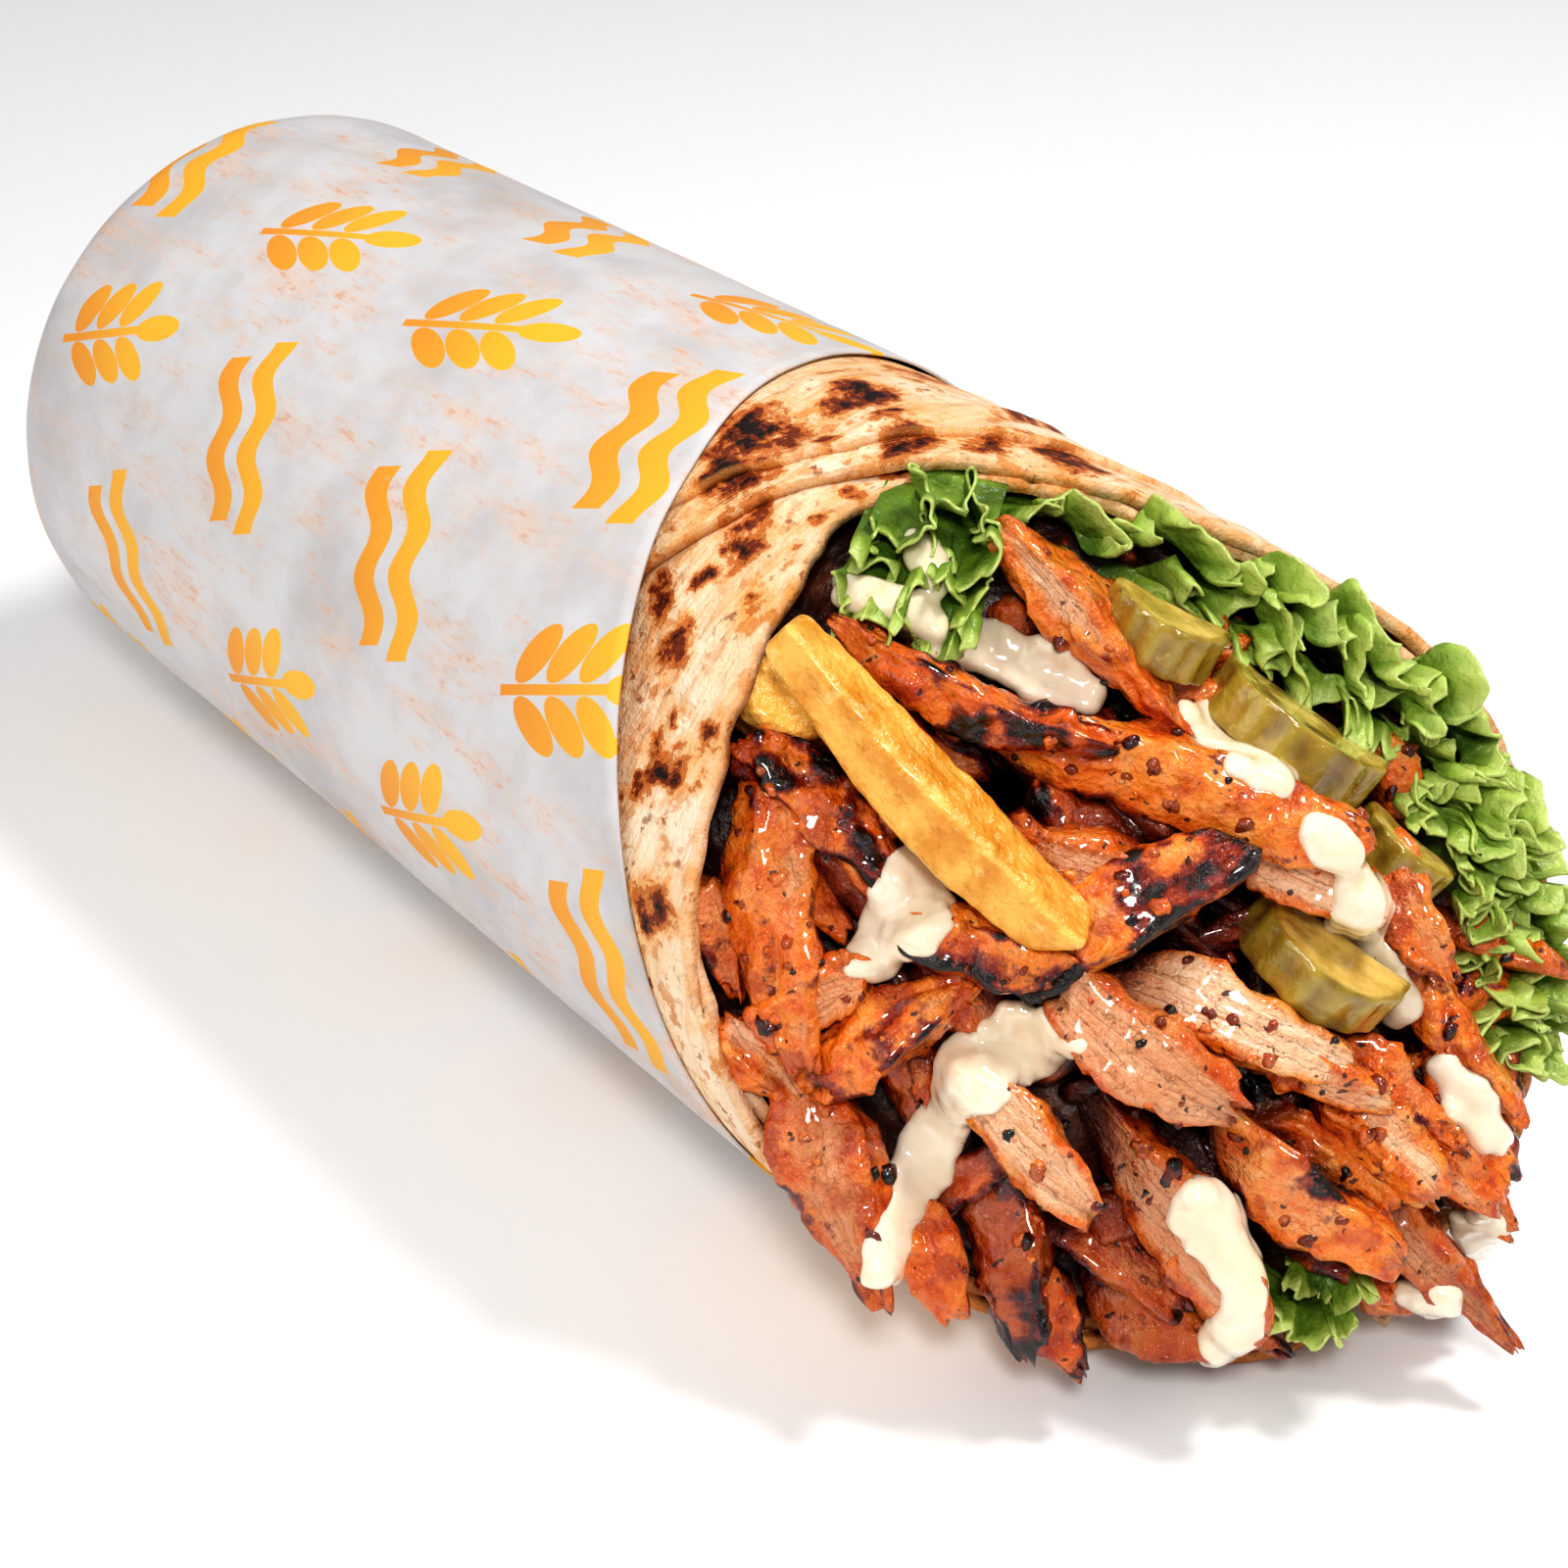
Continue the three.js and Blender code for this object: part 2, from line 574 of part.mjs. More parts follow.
// The origin is under the middle of the whole, on the surface that it lies on
const box = new THREE.Box3().setFromObject(roll);
const middle = box.getCenter(new THREE.Vector3());
roll.position.set(-middle.x, -middle.y, -box.min.z);
const wrap = new THREE.Group();
wrap.add(roll);

export default wrap;
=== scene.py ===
import math

import bpy
import numpy as np
from mathutils import Matrix, Vector
from mathutils.bvhtree import BVHTree


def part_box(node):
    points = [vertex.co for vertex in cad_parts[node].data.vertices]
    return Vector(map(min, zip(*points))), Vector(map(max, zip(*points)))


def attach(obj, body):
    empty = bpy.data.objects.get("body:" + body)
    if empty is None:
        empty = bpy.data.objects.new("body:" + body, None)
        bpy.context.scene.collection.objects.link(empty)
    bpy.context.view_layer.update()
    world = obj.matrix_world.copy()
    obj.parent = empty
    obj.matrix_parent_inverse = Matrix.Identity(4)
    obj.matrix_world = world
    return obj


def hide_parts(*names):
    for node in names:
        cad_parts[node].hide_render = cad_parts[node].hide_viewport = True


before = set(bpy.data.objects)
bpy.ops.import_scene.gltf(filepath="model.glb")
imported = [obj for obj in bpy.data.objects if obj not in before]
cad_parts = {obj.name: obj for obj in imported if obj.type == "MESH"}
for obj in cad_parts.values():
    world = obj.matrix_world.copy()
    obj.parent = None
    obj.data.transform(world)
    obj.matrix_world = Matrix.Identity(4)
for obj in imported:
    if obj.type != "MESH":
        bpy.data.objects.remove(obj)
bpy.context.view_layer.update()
bpy.ops.object.select_all(action="DESELECT")
mm = 0.001
scene = bpy.context.scene
print("frame loaded")

# the roll, in mm along x from its closed end, as the solids have it
roll = {
    "endRadius": 34.0, "rimRadius": 36.0, "paperLength": 112.0, "flatDepth": 0.9, "breadStart": 9.0,
    "paperAcross": -0.25, "paperUp": -0.46,  # slant of the paper's rim
    "breadRim": [166, 152, 140, 128.5, 122, 117.5, 116, 136, 152, 161, 167, 169, 166],  # every 30 degrees
}
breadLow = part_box("bread")[0]
paperLow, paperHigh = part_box("paper")
paperMiddle = (paperLow.y + paperHigh.y) / 2
rollShift = np.array([breadLow.x / mm - roll["breadStart"], paperMiddle / mm, paperLow.z / mm])

# the face of the heap: across, up and out of it
face = {"centre": (141.2, 0.0, 35.7), "azimuth": 50, "elevation": 35, "reach": 40, "rise": 9,
        "middle": 3, "leanAcross": -0.1, "leanUp": 0.03}


def smooth(value, low, high):
    share = np.clip((np.asarray(value, float) - low) / (high - low), 0, 1)
    return share * share * (3 - 2 * share)


def lerp(a, b, share):
    return a + (b - a) * share


noiseSize = 32
noiseGrid = np.random.default_rng(11).random((noiseSize, noiseSize, noiseSize)) * 2 - 1
layerShift = 7.31  # sets layers of lumps apart


# soft lumps of about the given size in mm, from -1 to 1
def lumps(points, size, layer=0):
    place = np.asarray(points, float) / size + layer * layerShift
    cell = np.floor(place).astype(int)
    part = place - cell
    part = part * part * (3 - 2 * part)
    total = np.zeros(len(place))
    for corner in np.ndindex(2, 2, 2):
        weight = np.where(corner, part, 1 - part).prod(1)
        near = (cell + corner) % noiseSize
        total += weight * noiseGrid[near[:, 0], near[:, 1], near[:, 2]]
    return total


def manyLumps(points, size, layers=3):
    total = np.zeros(len(points))
    for k in range(layers):
        total += lumps(points, size / 2 ** k, k + 1) / 2 ** k
    return total


# points for lumps that vary along one or two ways only
def rowOf(first, second=0.0, third=0.0):
    return np.stack(np.broadcast_arrays(first, second, third), -1)


# distance along a line of points, at each of them
def runLength(points):
    return np.concatenate([[0], np.cumsum(np.hypot(*np.diff(points, axis=0).T))])


def radiusAt(x):
    return lerp(roll["endRadius"], roll["rimRadius"], x / roll["paperLength"])


# a point of the roll: x, depth in from the paper's outside, angle in degrees up from the -y side
def rollPoint(x, depth, degrees):
    angle = np.radians(degrees)
    outer = radiusAt(x)
    radius = outer - depth
    z = outer - roll["flatDepth"] + radius * np.sin(angle)
    pressed = np.maximum(0, depth - z) * smooth(radius / outer, 0.4, 0.7)
    return np.stack(np.broadcast_arrays(x, -radius * np.cos(angle), z + pressed), -1)


def paperRimAt(degrees):
    near = rollPoint(np.full(np.shape(degrees), roll["paperLength"]), 0.0, degrees)
    lean = roll["paperAcross"] * near[..., 1] + roll["paperUp"] * (near[..., 2] - roll["rimRadius"])
    return roll["paperLength"] + lean


# a smooth curve through the rim's marks
def breadRimAt(degrees):
    rim = np.array(roll["breadRim"], float)
    place = np.mod(np.asarray(degrees, float) + 90, 360) / 30
    k = np.minimum(np.floor(place).astype(int), len(rim) - 2)
    t = place - k
    p0, p1, p2, p3 = rim[np.maximum(k - 1, 0)], rim[k], rim[k + 1], rim[np.minimum(k + 2, len(rim) - 1)]
    v0, v1 = (p2 - p0) / 2, (p3 - p1) / 2
    return (2 * p1 - 2 * p2 + v0 + v1) * t ** 3 + (-3 * p1 + 3 * p2 - 2 * v0 - v1) * t ** 2 + v0 * t + p1


azimuth, elevation = math.radians(face["azimuth"]), math.radians(face["elevation"])
faceOut = np.array([math.sin(azimuth) * math.cos(elevation), -math.cos(azimuth) * math.cos(elevation),
                    math.sin(elevation)])
faceAcross = np.array([math.cos(azimuth), math.sin(azimuth), 0.0])
faceUp = np.cross(faceOut, faceAcross)
faceCentre = np.array(face["centre"])


def onFace(across, up, out):
    across, up, out = np.broadcast_arrays(across, up, out)
    return faceCentre + across[..., None] * faceAcross + up[..., None] * faceUp + out[..., None] * faceOut


def faceParts(points):
    offset = points - faceCentre
    return offset @ faceAcross, offset @ faceUp, offset @ faceOut


# lays a shape at a place on the face, turned, tilted and rolled
def placeOnFace(local, place, turnDegrees, tiltDegrees, rollDegrees):
    spin = Matrix.Rotation(math.radians(turnDegrees), 3, "Z")
    spin = spin @ Matrix.Rotation(math.radians(-tiltDegrees), 3, "Y")
    spin = spin @ Matrix.Rotation(math.radians(rollDegrees), 3, "X")
    return onFace(*(np.array(place) + local @ np.array(spin).T).T)


def heapAt(across, up):
    far = np.minimum(2, (across ** 2 + up ** 2) / face["reach"] ** 2)
    lean = face["leanAcross"] * across + face["leanUp"] * up
    return face["middle"] + lean + face["rise"] * (1 - far)


def inMetres(points):
    return (points + rollShift) * mm


# writes roll-frame points in mm into a mesh
def setPoints(piece, points):
    piece.data.vertices.foreach_set("co", inMetres(np.asarray(points, float)).astype(np.float32).ravel())
    piece.data.update()


def meshPoints(piece):
    place = np.zeros(len(piece.data.vertices) * 3, np.float32)
    piece.data.vertices.foreach_get("co", place)
    return place.reshape(-1, 3).astype(float)


def pickOnly(piece):
    bpy.ops.object.select_all(action="DESELECT")
    piece.select_set(True)
    bpy.context.view_layer.objects.active = piece


def addMesh(adder, name, **settings):
    bpy.ops.object.select_all(action="DESELECT")
    adder(**settings)
    piece = bpy.context.object
    piece.name = name
    return piece


# a flat sheet, with its grid's u and v from 0 to 1
def addSheet(name, columns, rows):
    piece = addMesh(bpy.ops.mesh.primitive_grid_add, name, size=1,
                    x_subdivisions=columns, y_subdivisions=rows)
    flat = meshPoints(piece)
    return piece, flat[:, 0] + 0.5, flat[:, 1] + 0.5


def copyOf(piece, name):
    other = piece.copy()
    other.data = piece.data.copy()
    other.name = name
    scene.collection.objects.link(other)
    return other


def applyModifier(piece, kind, **settings):
    pickOnly(piece)
    modifier = piece.modifiers.new(kind.title(), kind)
    for key, value in settings.items():
        setattr(modifier, key, value)
    bpy.ops.object.modifier_apply(modifier=modifier.name)


# evens out a mesh's faces and softens it
def remesh(piece, voxel, factor, rounds):
    applyModifier(piece, "REMESH", mode="VOXEL", voxel_size=voxel * mm)
    applyModifier(piece, "SMOOTH", factor=factor, iterations=rounds)


# an edit-mode operator on the whole of the active mesh
def editWhole(operator, **settings):
    bpy.ops.object.mode_set(mode="EDIT")
    bpy.ops.mesh.select_all(action="SELECT")
    operator(**settings)
    bpy.ops.object.mode_set(mode="OBJECT")


def joinPieces(pieces, name):
    bpy.ops.object.select_all(action="DESELECT")
    for piece in pieces:
        piece.select_set(True)
    bpy.context.view_layer.objects.active = pieces[0]
    bpy.ops.object.join()
    pieces[0].name = name
    pieces[0].data.name = name
    return pieces[0]


# uv from values at the points; four-sided faces wholly at the picked points take the other values
def setUv(piece, perVertex, other=None, picked=None):
    layer = piece.data.uv_layers.active or piece.data.uv_layers.new(name="UVMap")
    index = np.zeros(len(piece.data.loops), np.int32)
    piece.data.loops.foreach_get("vertex_index", index)
    uv = perVertex[index]
    if other is not None:
        whole = np.repeat(picked[index].reshape(-1, 4).all(1), 4)
        uv = np.where(whole[:, None], other[index], uv)
    layer.data.foreach_set("uv", uv.astype(np.float32).ravel())


def setTint(piece, name, red, green, blue):
    layer = piece.data.color_attributes.new(name=name, type="FLOAT_COLOR", domain="POINT")
    tint = np.stack(np.broadcast_arrays(red, green, blue, np.ones(len(piece.data.vertices))), -1)
    layer.data.foreach_set("color", tint.astype(np.float32).ravel())


def finishPiece(piece, material, nodes):
    pickOnly(piece)
    bpy.ops.object.transform_apply(location=True, rotation=True, scale=True)
    bpy.ops.object.shade_smooth()
    piece.data.materials.clear()
    piece.data.materials.append(material)
    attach(piece, "root")
    if nodes:
        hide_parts(*nodes)
    print(piece.name, len(piece.data.polygons), "faces")


# shader helpers

def addNode(tree, kind, inputs=None, **settings):
    node = tree.nodes.new(kind)
    for key, value in settings.items():
        setattr(node, key, value)
    for key, value in (inputs or {}).items():
        if isinstance(value, bpy.types.NodeSocket):
            tree.links.new(value, node.inputs[key])
        else:
            node.inputs[key].default_value = value
    return node


def calc(tree, operation, a, b=0.0, clamp=False):
    return addNode(tree, "ShaderNodeMath", {0: a, 1: b}, operation=operation, use_clamp=clamp).outputs[0]


def plus(tree, a, b, clamp=False):
    return calc(tree, "ADD", a, b, clamp)


def minus(tree, a, b):
    return calc(tree, "SUBTRACT", a, b)


def times(tree, a, b):
    return calc(tree, "MULTIPLY", a, b)


# one where a value is nearer to nought than the limit
def within(tree, value, limit):
    return calc(tree, "LESS_THAN", calc(tree, "ABSOLUTE", value), limit)


def between(tree, value, low, high):
    inputs = {"Value": value, "From Min": low, "From Max": high}
    return addNode(tree, "ShaderNodeMapRange", inputs, interpolation_type="SMOOTHSTEP").outputs["Result"]


def noise(tree, vector, scale, detail, rough=0.5):
    inputs = {"Vector": vector, "Scale": scale, "Detail": detail, "Roughness": rough}
    return addNode(tree, "ShaderNodeTexNoise", inputs).outputs["Fac"]


def stretch(tree, vector, factors):
    return addNode(tree, "ShaderNodeVectorMath", {0: vector, 1: factors}, operation="MULTIPLY").outputs[0]


# a vector moved on by a value, by as much as the scale says
def sway(tree, vector, value, scale):
    moved = addNode(tree, "ShaderNodeVectorMath", {0: value, "Scale": scale}, operation="SCALE")
    return addNode(tree, "ShaderNodeVectorMath", {0: vector, 1: moved.outputs[0]}).outputs[0]


def spun(tree, vector, degrees):
    inputs = {"Vector": vector, "Angle": math.radians(degrees)}
    return addNode(tree, "ShaderNodeVectorRotate", inputs, rotation_type="Z_AXIS").outputs[0]


def asColour(value):
    return value if isinstance(value, bpy.types.NodeSocket) else (*value, 1.0)


def blendColour(tree, share, first, second, mode="MIX"):
    inputs = {0: share, 6: asColour(first), 7: asColour(second)}
    return addNode(tree, "ShaderNodeMix", inputs, data_type="RGBA", blend_type=mode).outputs[2]


# lays tones over a colour, each by its mask and strength
def paint(tree, colour, *layers):
    for mask, strength, tone in layers:
        share = mask if strength == 1 else times(tree, mask, strength)
        colour = blendColour(tree, share, colour, tone)
    return colour


def ramp(tree, share, stops):
    node = addNode(tree, "ShaderNodeValToRGB", {"Fac": share})
    band = node.color_ramp
    while len(band.elements) < len(stops):
        band.elements.new(0.5)
    for element, (place, colour) in zip(band.elements, stops):
        element.position = place
        element.color = asColour(colour)
    return node.outputs["Color"]


def objectPlace(tree):
    return addNode(tree, "ShaderNodeTexCoord").outputs["Object"]


def uvPlace(tree):
    return addNode(tree, "ShaderNodeUVMap", uv_map="UVMap").outputs["UV"]


def tintParts(tree, layer):
    tint = addNode(tree, "ShaderNodeVertexColor", layer_name=layer)
    parts = addNode(tree, "ShaderNodeSeparateColor", {"Color": tint.outputs["Color"]})
    return [parts.outputs[k] for k in ("Red", "Green", "Blue")]


def newMaterial(name):
    material = bpy.data.materials.new(name)
    material.use_nodes = True
    tree = material.node_tree
    return material, tree, tree.nodes["Principled BSDF"]


def setShader(tree, shader, colour, constants):
    tree.links.new(colour, shader.inputs["Base Color"])
    for name, value in constants.items():
        shader.inputs[name].default_value = value


def addBump(tree, shader, height, strength, distance):
    bump = addNode(tree, "ShaderNodeBump", {"Height": height, "Strength": strength, "Distance": distance})
    tree.links.new(bump.outputs["Normal"], shader.inputs["Normal"])


def newGroup(name, values):
    group = bpy.data.node_groups.new(name, "ShaderNodeTree")
    group.interface.new_socket("Vector", in_out="INPUT", socket_type="NodeSocketVector")
    for key, value in values.items():
        socket = group.interface.new_socket(key, in_out="INPUT", socket_type="NodeSocketFloat")
        socket.default_value = value
    group.interface.new_socket("Mask", in_out="OUTPUT", socket_type="NodeSocketFloat")
    start = group.nodes.new("NodeGroupInput")
    end = group.nodes.new("NodeGroupOutput")
    return group, start.outputs, end.inputs


# soft cloudy patches, shared by bread, paper, fries, chicken and sauce
def patchGroup():
    group, given, result = newGroup("patches", {"Scale": 100.0, "Low": 0.4, "High": 0.6})
    cloud = noise(group, given["Vector"], given["Scale"], 4.0, 0.6)
    group.links.new(between(group, cloud, given["Low"], given["High"]), result["Mask"])
    return group


# scattered round specks, shared by chicken, fries, pickles and sauce
def speckGroup():
    group, given, result = newGroup("specks", {"Scale": 800.0, "Size": 0.25, "Share": 0.4})
    place = sway(group, given["Vector"], noise(group, given["Vector"], 900.0, 1.0), 0.0014)
    cells = addNode(group, "ShaderNodeTexVoronoi", {"Vector": place, "Scale": given["Scale"]})
    dot = between(group, minus(group, given["Size"], cells.outputs["Distance"]), 0.0, 0.08)
    pick = addNode(group, "ShaderNodeSeparateColor", {"Color": cells.outputs["Color"]})
    some = calc(group, "LESS_THAN", pick.outputs["Red"], given["Share"])
    group.links.new(times(group, dot, some), result["Mask"])
    return group


patches = patchGroup()
specks = speckGroup()


def patchMask(tree, vector, scale, low, high):
    inputs = {"Vector": vector, "Scale": scale, "Low": low, "High": high}
    return addNode(tree, "ShaderNodeGroup", inputs, node_tree=patches).outputs["Mask"]


def speckMask(tree, vector, scale, size, share):
    inputs = {"Vector": vector, "Scale": scale, "Size": size, "Share": share}
    return addNode(tree, "ShaderNodeGroup", inputs, node_tree=specks).outputs["Mask"]


# paper sleeve

paperSleeve = {
    "thickness": 0.3, "columns": 220, "rows": 84, "seamAt": 232, "overlap": 22, "lift": 0.45, "round": 36,
    "corner": 7, "endHollow": [(0.5, -1.6), (8, -1.4), (16, -1.0), (22, -0.5)],  # radius and place along
    "pleats": 9, "pleatDepth": 0.9, "crinkle": 0.16, "crease": 0.9,
    "cell": 26.0, "turn": 24,  # the print's spacing and slant
}


def paperMaterial(spec):
    material, tree, shader = newMaterial("greaseproofPaper")
    sheetPlace = uvPlace(tree)
    cells = stretch(tree, spun(tree, sheetPlace, spec["turn"]), (1 / spec["cell"], 1 / spec["cell"], 0))
    parts = addNode(tree, "ShaderNodeSeparateXYZ", {0: cells}).outputs
    row = calc(tree, "FLOOR", parts["Y"])
    across = plus(tree, parts["X"], times(tree, calc(tree, "PINGPONG", row, 1.0), 0.5))
    localX = minus(tree, calc(tree, "FRACT", across), 0.5)
    localY = minus(tree, calc(tree, "FRACT", parts["Y"]), 0.5)
    local = addNode(tree, "ShaderNodeCombineXYZ", {"X": localX, "Y": localY}).outputs[0]

    # a sprig: a stem with pairs of leaves and one at the top
    leaves = [(0.0, 0.33, 90)]
    for k in range(3):
        leaves += [(0.125, -0.15 + 0.16 * k, 46), (-0.125, -0.15 + 0.16 * k, 134)]
    sprig = times(tree, within(tree, localX, 0.019), within(tree, localY, 0.33))
    leafScale = (1 / 0.135, 1 / 0.06, 0)
    for leafX, leafY, degrees in leaves:
        moved = addNode(tree, "ShaderNodeVectorMath", {0: local, 1: (leafX, leafY, 0)}, operation="SUBTRACT")
        fitted = stretch(tree, spun(tree, moved.outputs[0], -degrees), leafScale)
        far = addNode(tree, "ShaderNodeVectorMath", {0: fitted}, operation="LENGTH").outputs["Value"]
        sprig = calc(tree, "MAXIMUM", sprig, calc(tree, "LESS_THAN", far, 1.0))

    # two wavy strokes
    wave = times(tree, calc(tree, "SINE", times(tree, localX, 19.0)), 0.035)
    strokes = 0.0
    for height, half in ((0.1, 0.4), (-0.1, 0.34)):
        line = within(tree, minus(tree, minus(tree, localY, wave), height), 0.06)
        strokes = calc(tree, "MAXIMUM", times(tree, line, within(tree, localX, half)), strokes)
    pick = calc(tree, "PINGPONG", plus(tree, calc(tree, "FLOOR", across), row), 1.0)
    ink = plus(tree, times(tree, sprig, minus(tree, 1.0, pick)), times(tree, strokes, pick), clamp=True)
    place = objectPlace(tree)
    worn = patchMask(tree, place, 900.0, 0.2, 0.45)
    ink = times(tree, ink, between(tree, worn, -0.4, 0.6))
    inkColour = blendColour(tree, between(tree, localY, -0.35, 0.35), (0.77, 0.29, 0.01), (0.87, 0.48, 0.012))

    # grease and rubbed-on sauce
    smear = noise(tree, stretch(tree, sheetPlace, (0.22, 0.06, 1.0)), 1.0, 6.0, 0.78)
    spatter = noise(tree, stretch(tree, sheetPlace, (1.3, 0.4, 1.0)), 1.0, 4.0, 0.7)
    soiled = patchMask(tree, place, 34.0, 0.36, 0.58)
    smears = times(tree, between(tree, smear, 0.45, 0.68), soiled)
    spots = times(tree, between(tree, spatter, 0.5, 0.64), smears)
    colour = paint(tree, (0.63, 0.615, 0.62),
                   (patchMask(tree, place, 55.0, 0.42, 0.75), 0.8, (0.47, 0.445, 0.44)),
                   (patchMask(tree, place, 210.0, 0.42, 0.7), 0.35, (0.5, 0.47, 0.46)),
                   (smears, 0.7, (0.72, 0.5, 0.37)),
                   (spots, 0.75, (0.64, 0.28, 0.12)),
                   (ink, 0.95, inkColour))
    setShader(tree, shader, colour, {"Roughness": 0.55})
    addBump(tree, shader, noise(tree, place, 120.0, 3.0), 0.25, 0.0012)
    return material


def makePaper(spec):
    piece, u, v = addSheet("paperSleeve", spec["columns"], spec["rows"])
    degrees = spec["seamAt"] + u * (360 + spec["overlap"])
    # profile from the middle of the tucked end, round its corner and along the wall
    corner, flat = spec["corner"], roll["endRadius"] - spec["corner"]
    arc = np.linspace(0, math.pi / 2, 9)
    profile = spec["endHollow"] + [(flat + corner * math.sin(t), corner - corner * math.cos(t)) for t in arc]
    radii, stations = np.array(profile).T
    length = runLength(profile)
    rim = paperRimAt(degrees)
    travel = v * (length[-1] + (rim - stations[-1]))
    onWallAt = travel - length[-1] + stations[-1]
    radius = np.interp(travel, length, radii)
    x = np.where(travel <= length[-1], np.interp(travel, length, stations), onWallAt)
    onEnd = smooth(radius, 3, 11) * (1 - smooth(radius, 25, 33)) * (travel <= length[-1])
    fold = np.cos(np.radians(spec["pleats"] * degrees) + radius / 8)
    x = x + spec["pleatDepth"] * onEnd * np.sign(fold) * np.abs(fold) ** 0.6
    # gentle crinkles, with longer creases near the tucked end
    angle = np.radians(degrees)
    turnPlace = np.stack([np.cos(angle) * spec["round"], np.sin(angle) * spec["round"], x], -1)
    onWall = smooth(x, 2, 12)
    calm = 1 - 0.6 * smooth(x - rim, -12, -1)
    crinkle = spec["crinkle"] * calm * (lumps(turnPlace * (1, 1, 0.35), 13) + 0.5 * lumps(turnPlace, 5, 3))
    crease = spec["crease"] * (1 - smooth(x, 4, 40)) * np.minimum(0, lumps(turnPlace * (1, 1, 0.12), 7, 5))
    over = smooth(u, 0.9, 0.94) * spec["lift"]
    half = spec["thickness"] / 2
    depth = (roll["endRadius"] - radius) + half - onWall * (crinkle + crease) - over
    depth = np.where(x > 2, np.maximum(depth, half), depth)
    rimWave = 0.35 * lumps(turnPlace * (1, 1, 0), 9, 2) * smooth(v, 0.9, 1)
    points = rollPoint(x + rimWave, depth, degrees)
    setPoints(piece, points)
    # the print runs on round the wall, and lies flat on the end
    endTravel = length[len(spec["endHollow"])] + 0.1
    setUv(piece, np.stack([angle * spec["round"], onWallAt], -1), points[:, 1:], travel < endTravel)
    pickOnly(piece)
    editWhole(bpy.ops.mesh.normals_make_consistent, inside=False)
    applyModifier(piece, "SOLIDIFY", thickness=spec["thickness"] * mm, offset=0.0)
    finishPiece(piece, paperMaterial(spec), ["paper"])


makePaper(paperSleeve)


# flatbread

flatbread = {
    "thickness": 1.3, "foldThickness": 1.1, "gap": 0.3, "round": 35, "puff": 0.3,
    "columns": 500, "rows": 54, "foldColumns": 190, "foldRows": 38, "hiddenShare": 0.2,
    "sheetEnd": 740, "edgeHidden": 38, "edgeAtRim": 90, "edgeFrom": 96, "edgeTo": 117,
    "foldFrom": 55, "foldTo": 255, "foldEdge": 105.6, "foldAt": 75, "foldSlope": 1 / 2.8, "foldDrop": 0.25,
    # toasted spots that show: angle, distance along, radius, strength
    "spots": [
        (78, 101.5, 3.6, 1.0), (71, 104.5, 2.6, 0.9), (93, 112.5, 2.6, 1.0), (96, 104.0, 3.0, 0.9),
        (66, 108.0, 2.0, 0.7), (62, 111.0, 2.4, 0.8), (44, 110.5, 2.4, 0.8), (49, 105.5, 2.0, 0.8),
        (26, 116.5, 2.2, 0.9), (29, 113.5, 1.8, 0.7), (10, 121.5, 2.4, 0.8), (56, 115.5, 1.8, 0.6),
        (110, 122.0, 3.2, 0.9), (104, 117.0, 2.0, 0.6), (84, 108.0, 1.6, 0.6), (36, 118.5, 1.6, 0.7),
    ],
    # spots strewn over the other sides, and small ones: how many, then ranges of the same four
    "strewn": [(90, (115, 350), (98, 168), (1.2, 3.4), (0.4, 0.9)),
               (60, (-25, 118), (97, 132), (0.5, 1.3), (0.45, 0.8))],
    "strewnSeed": 21, "spotRound": 30,
}


def breadMaterial():
    material, tree, shader = newMaterial("toastedFlatbread")
    place = objectPlace(tree)
    spots, rim = tintParts(tree, "toast")[:2]
    rough = noise(tree, place, 520.0, 5.0, 0.72)
    uneven = minus(tree, rough, 0.5)
    streak = noise(tree, stretch(tree, uvPlace(tree), (0.12, 0.75, 1.0)), 1.0, 5.0, 0.6)
    clusters = plus(tree, times(tree, patchMask(tree, place, 75.0, 0.38, 0.62), 0.75), 0.25)
    flecks = times(tree, patchMask(tree, place, 460.0, 0.55, 0.62), clusters)
    darkFlecks = times(tree, patchMask(tree, place, 620.0, 0.6, 0.67), clusters)
    patchy = plus(tree, times(tree, spots, 2.6), 0.45)
    toast = plus(tree, spots, times(tree, uneven, patchy))
    halo = between(tree, toast, 0.29, 0.4)
    edge = plus(tree, rim, times(tree, uneven, 1.8))
    colour = paint(tree, (0.88, 0.61, 0.36),
                   (patchMask(tree, place, 90.0, 0.35, 0.7), 1, (0.95, 0.8, 0.62)),
                   (between(tree, streak, 0.48, 0.72), 0.7, (0.82, 0.39, 0.13)),
                   (patchMask(tree, place, 200.0, 0.52, 0.7), 0.6, (0.82, 0.45, 0.17)),
                   (flecks, 0.8, (0.64, 0.23, 0.045)),
                   (darkFlecks, 0.9, (0.25, 0.055, 0.012)),
                   (between(tree, toast, 0.02, 0.34), 0.6, (0.87, 0.36, 0.075)),
                   (halo, 0.9, (0.58, 0.16, 0.022)),
                   (between(tree, toast, 0.46, 0.58), 1, (0.2, 0.036, 0.008)),
                   (between(tree, toast, 0.72, 0.82), 1, (0.022, 0.008, 0.006)),
                   (between(tree, edge, 0.5, 1.2), 0.5, (0.72, 0.31, 0.07)))
    setShader(tree, shader, colour, {"Roughness": 0.5, "Specular IOR Level": 0.35})
    addBump(tree, shader, plus(tree, plus(tree, rough, streak), times(tree, halo, -0.35)), 0.6, 0.0012)
    return material


# depth of the bread's outer face: tucked under the paper, then filling out past its rim
def breadSkin(x, degrees):
    past = x - paperRimAt(degrees)
    return lerp(1.0, 0.42, smooth(past, -8, 0)) - 0.2 * smooth(past, 0.2, 3.5)


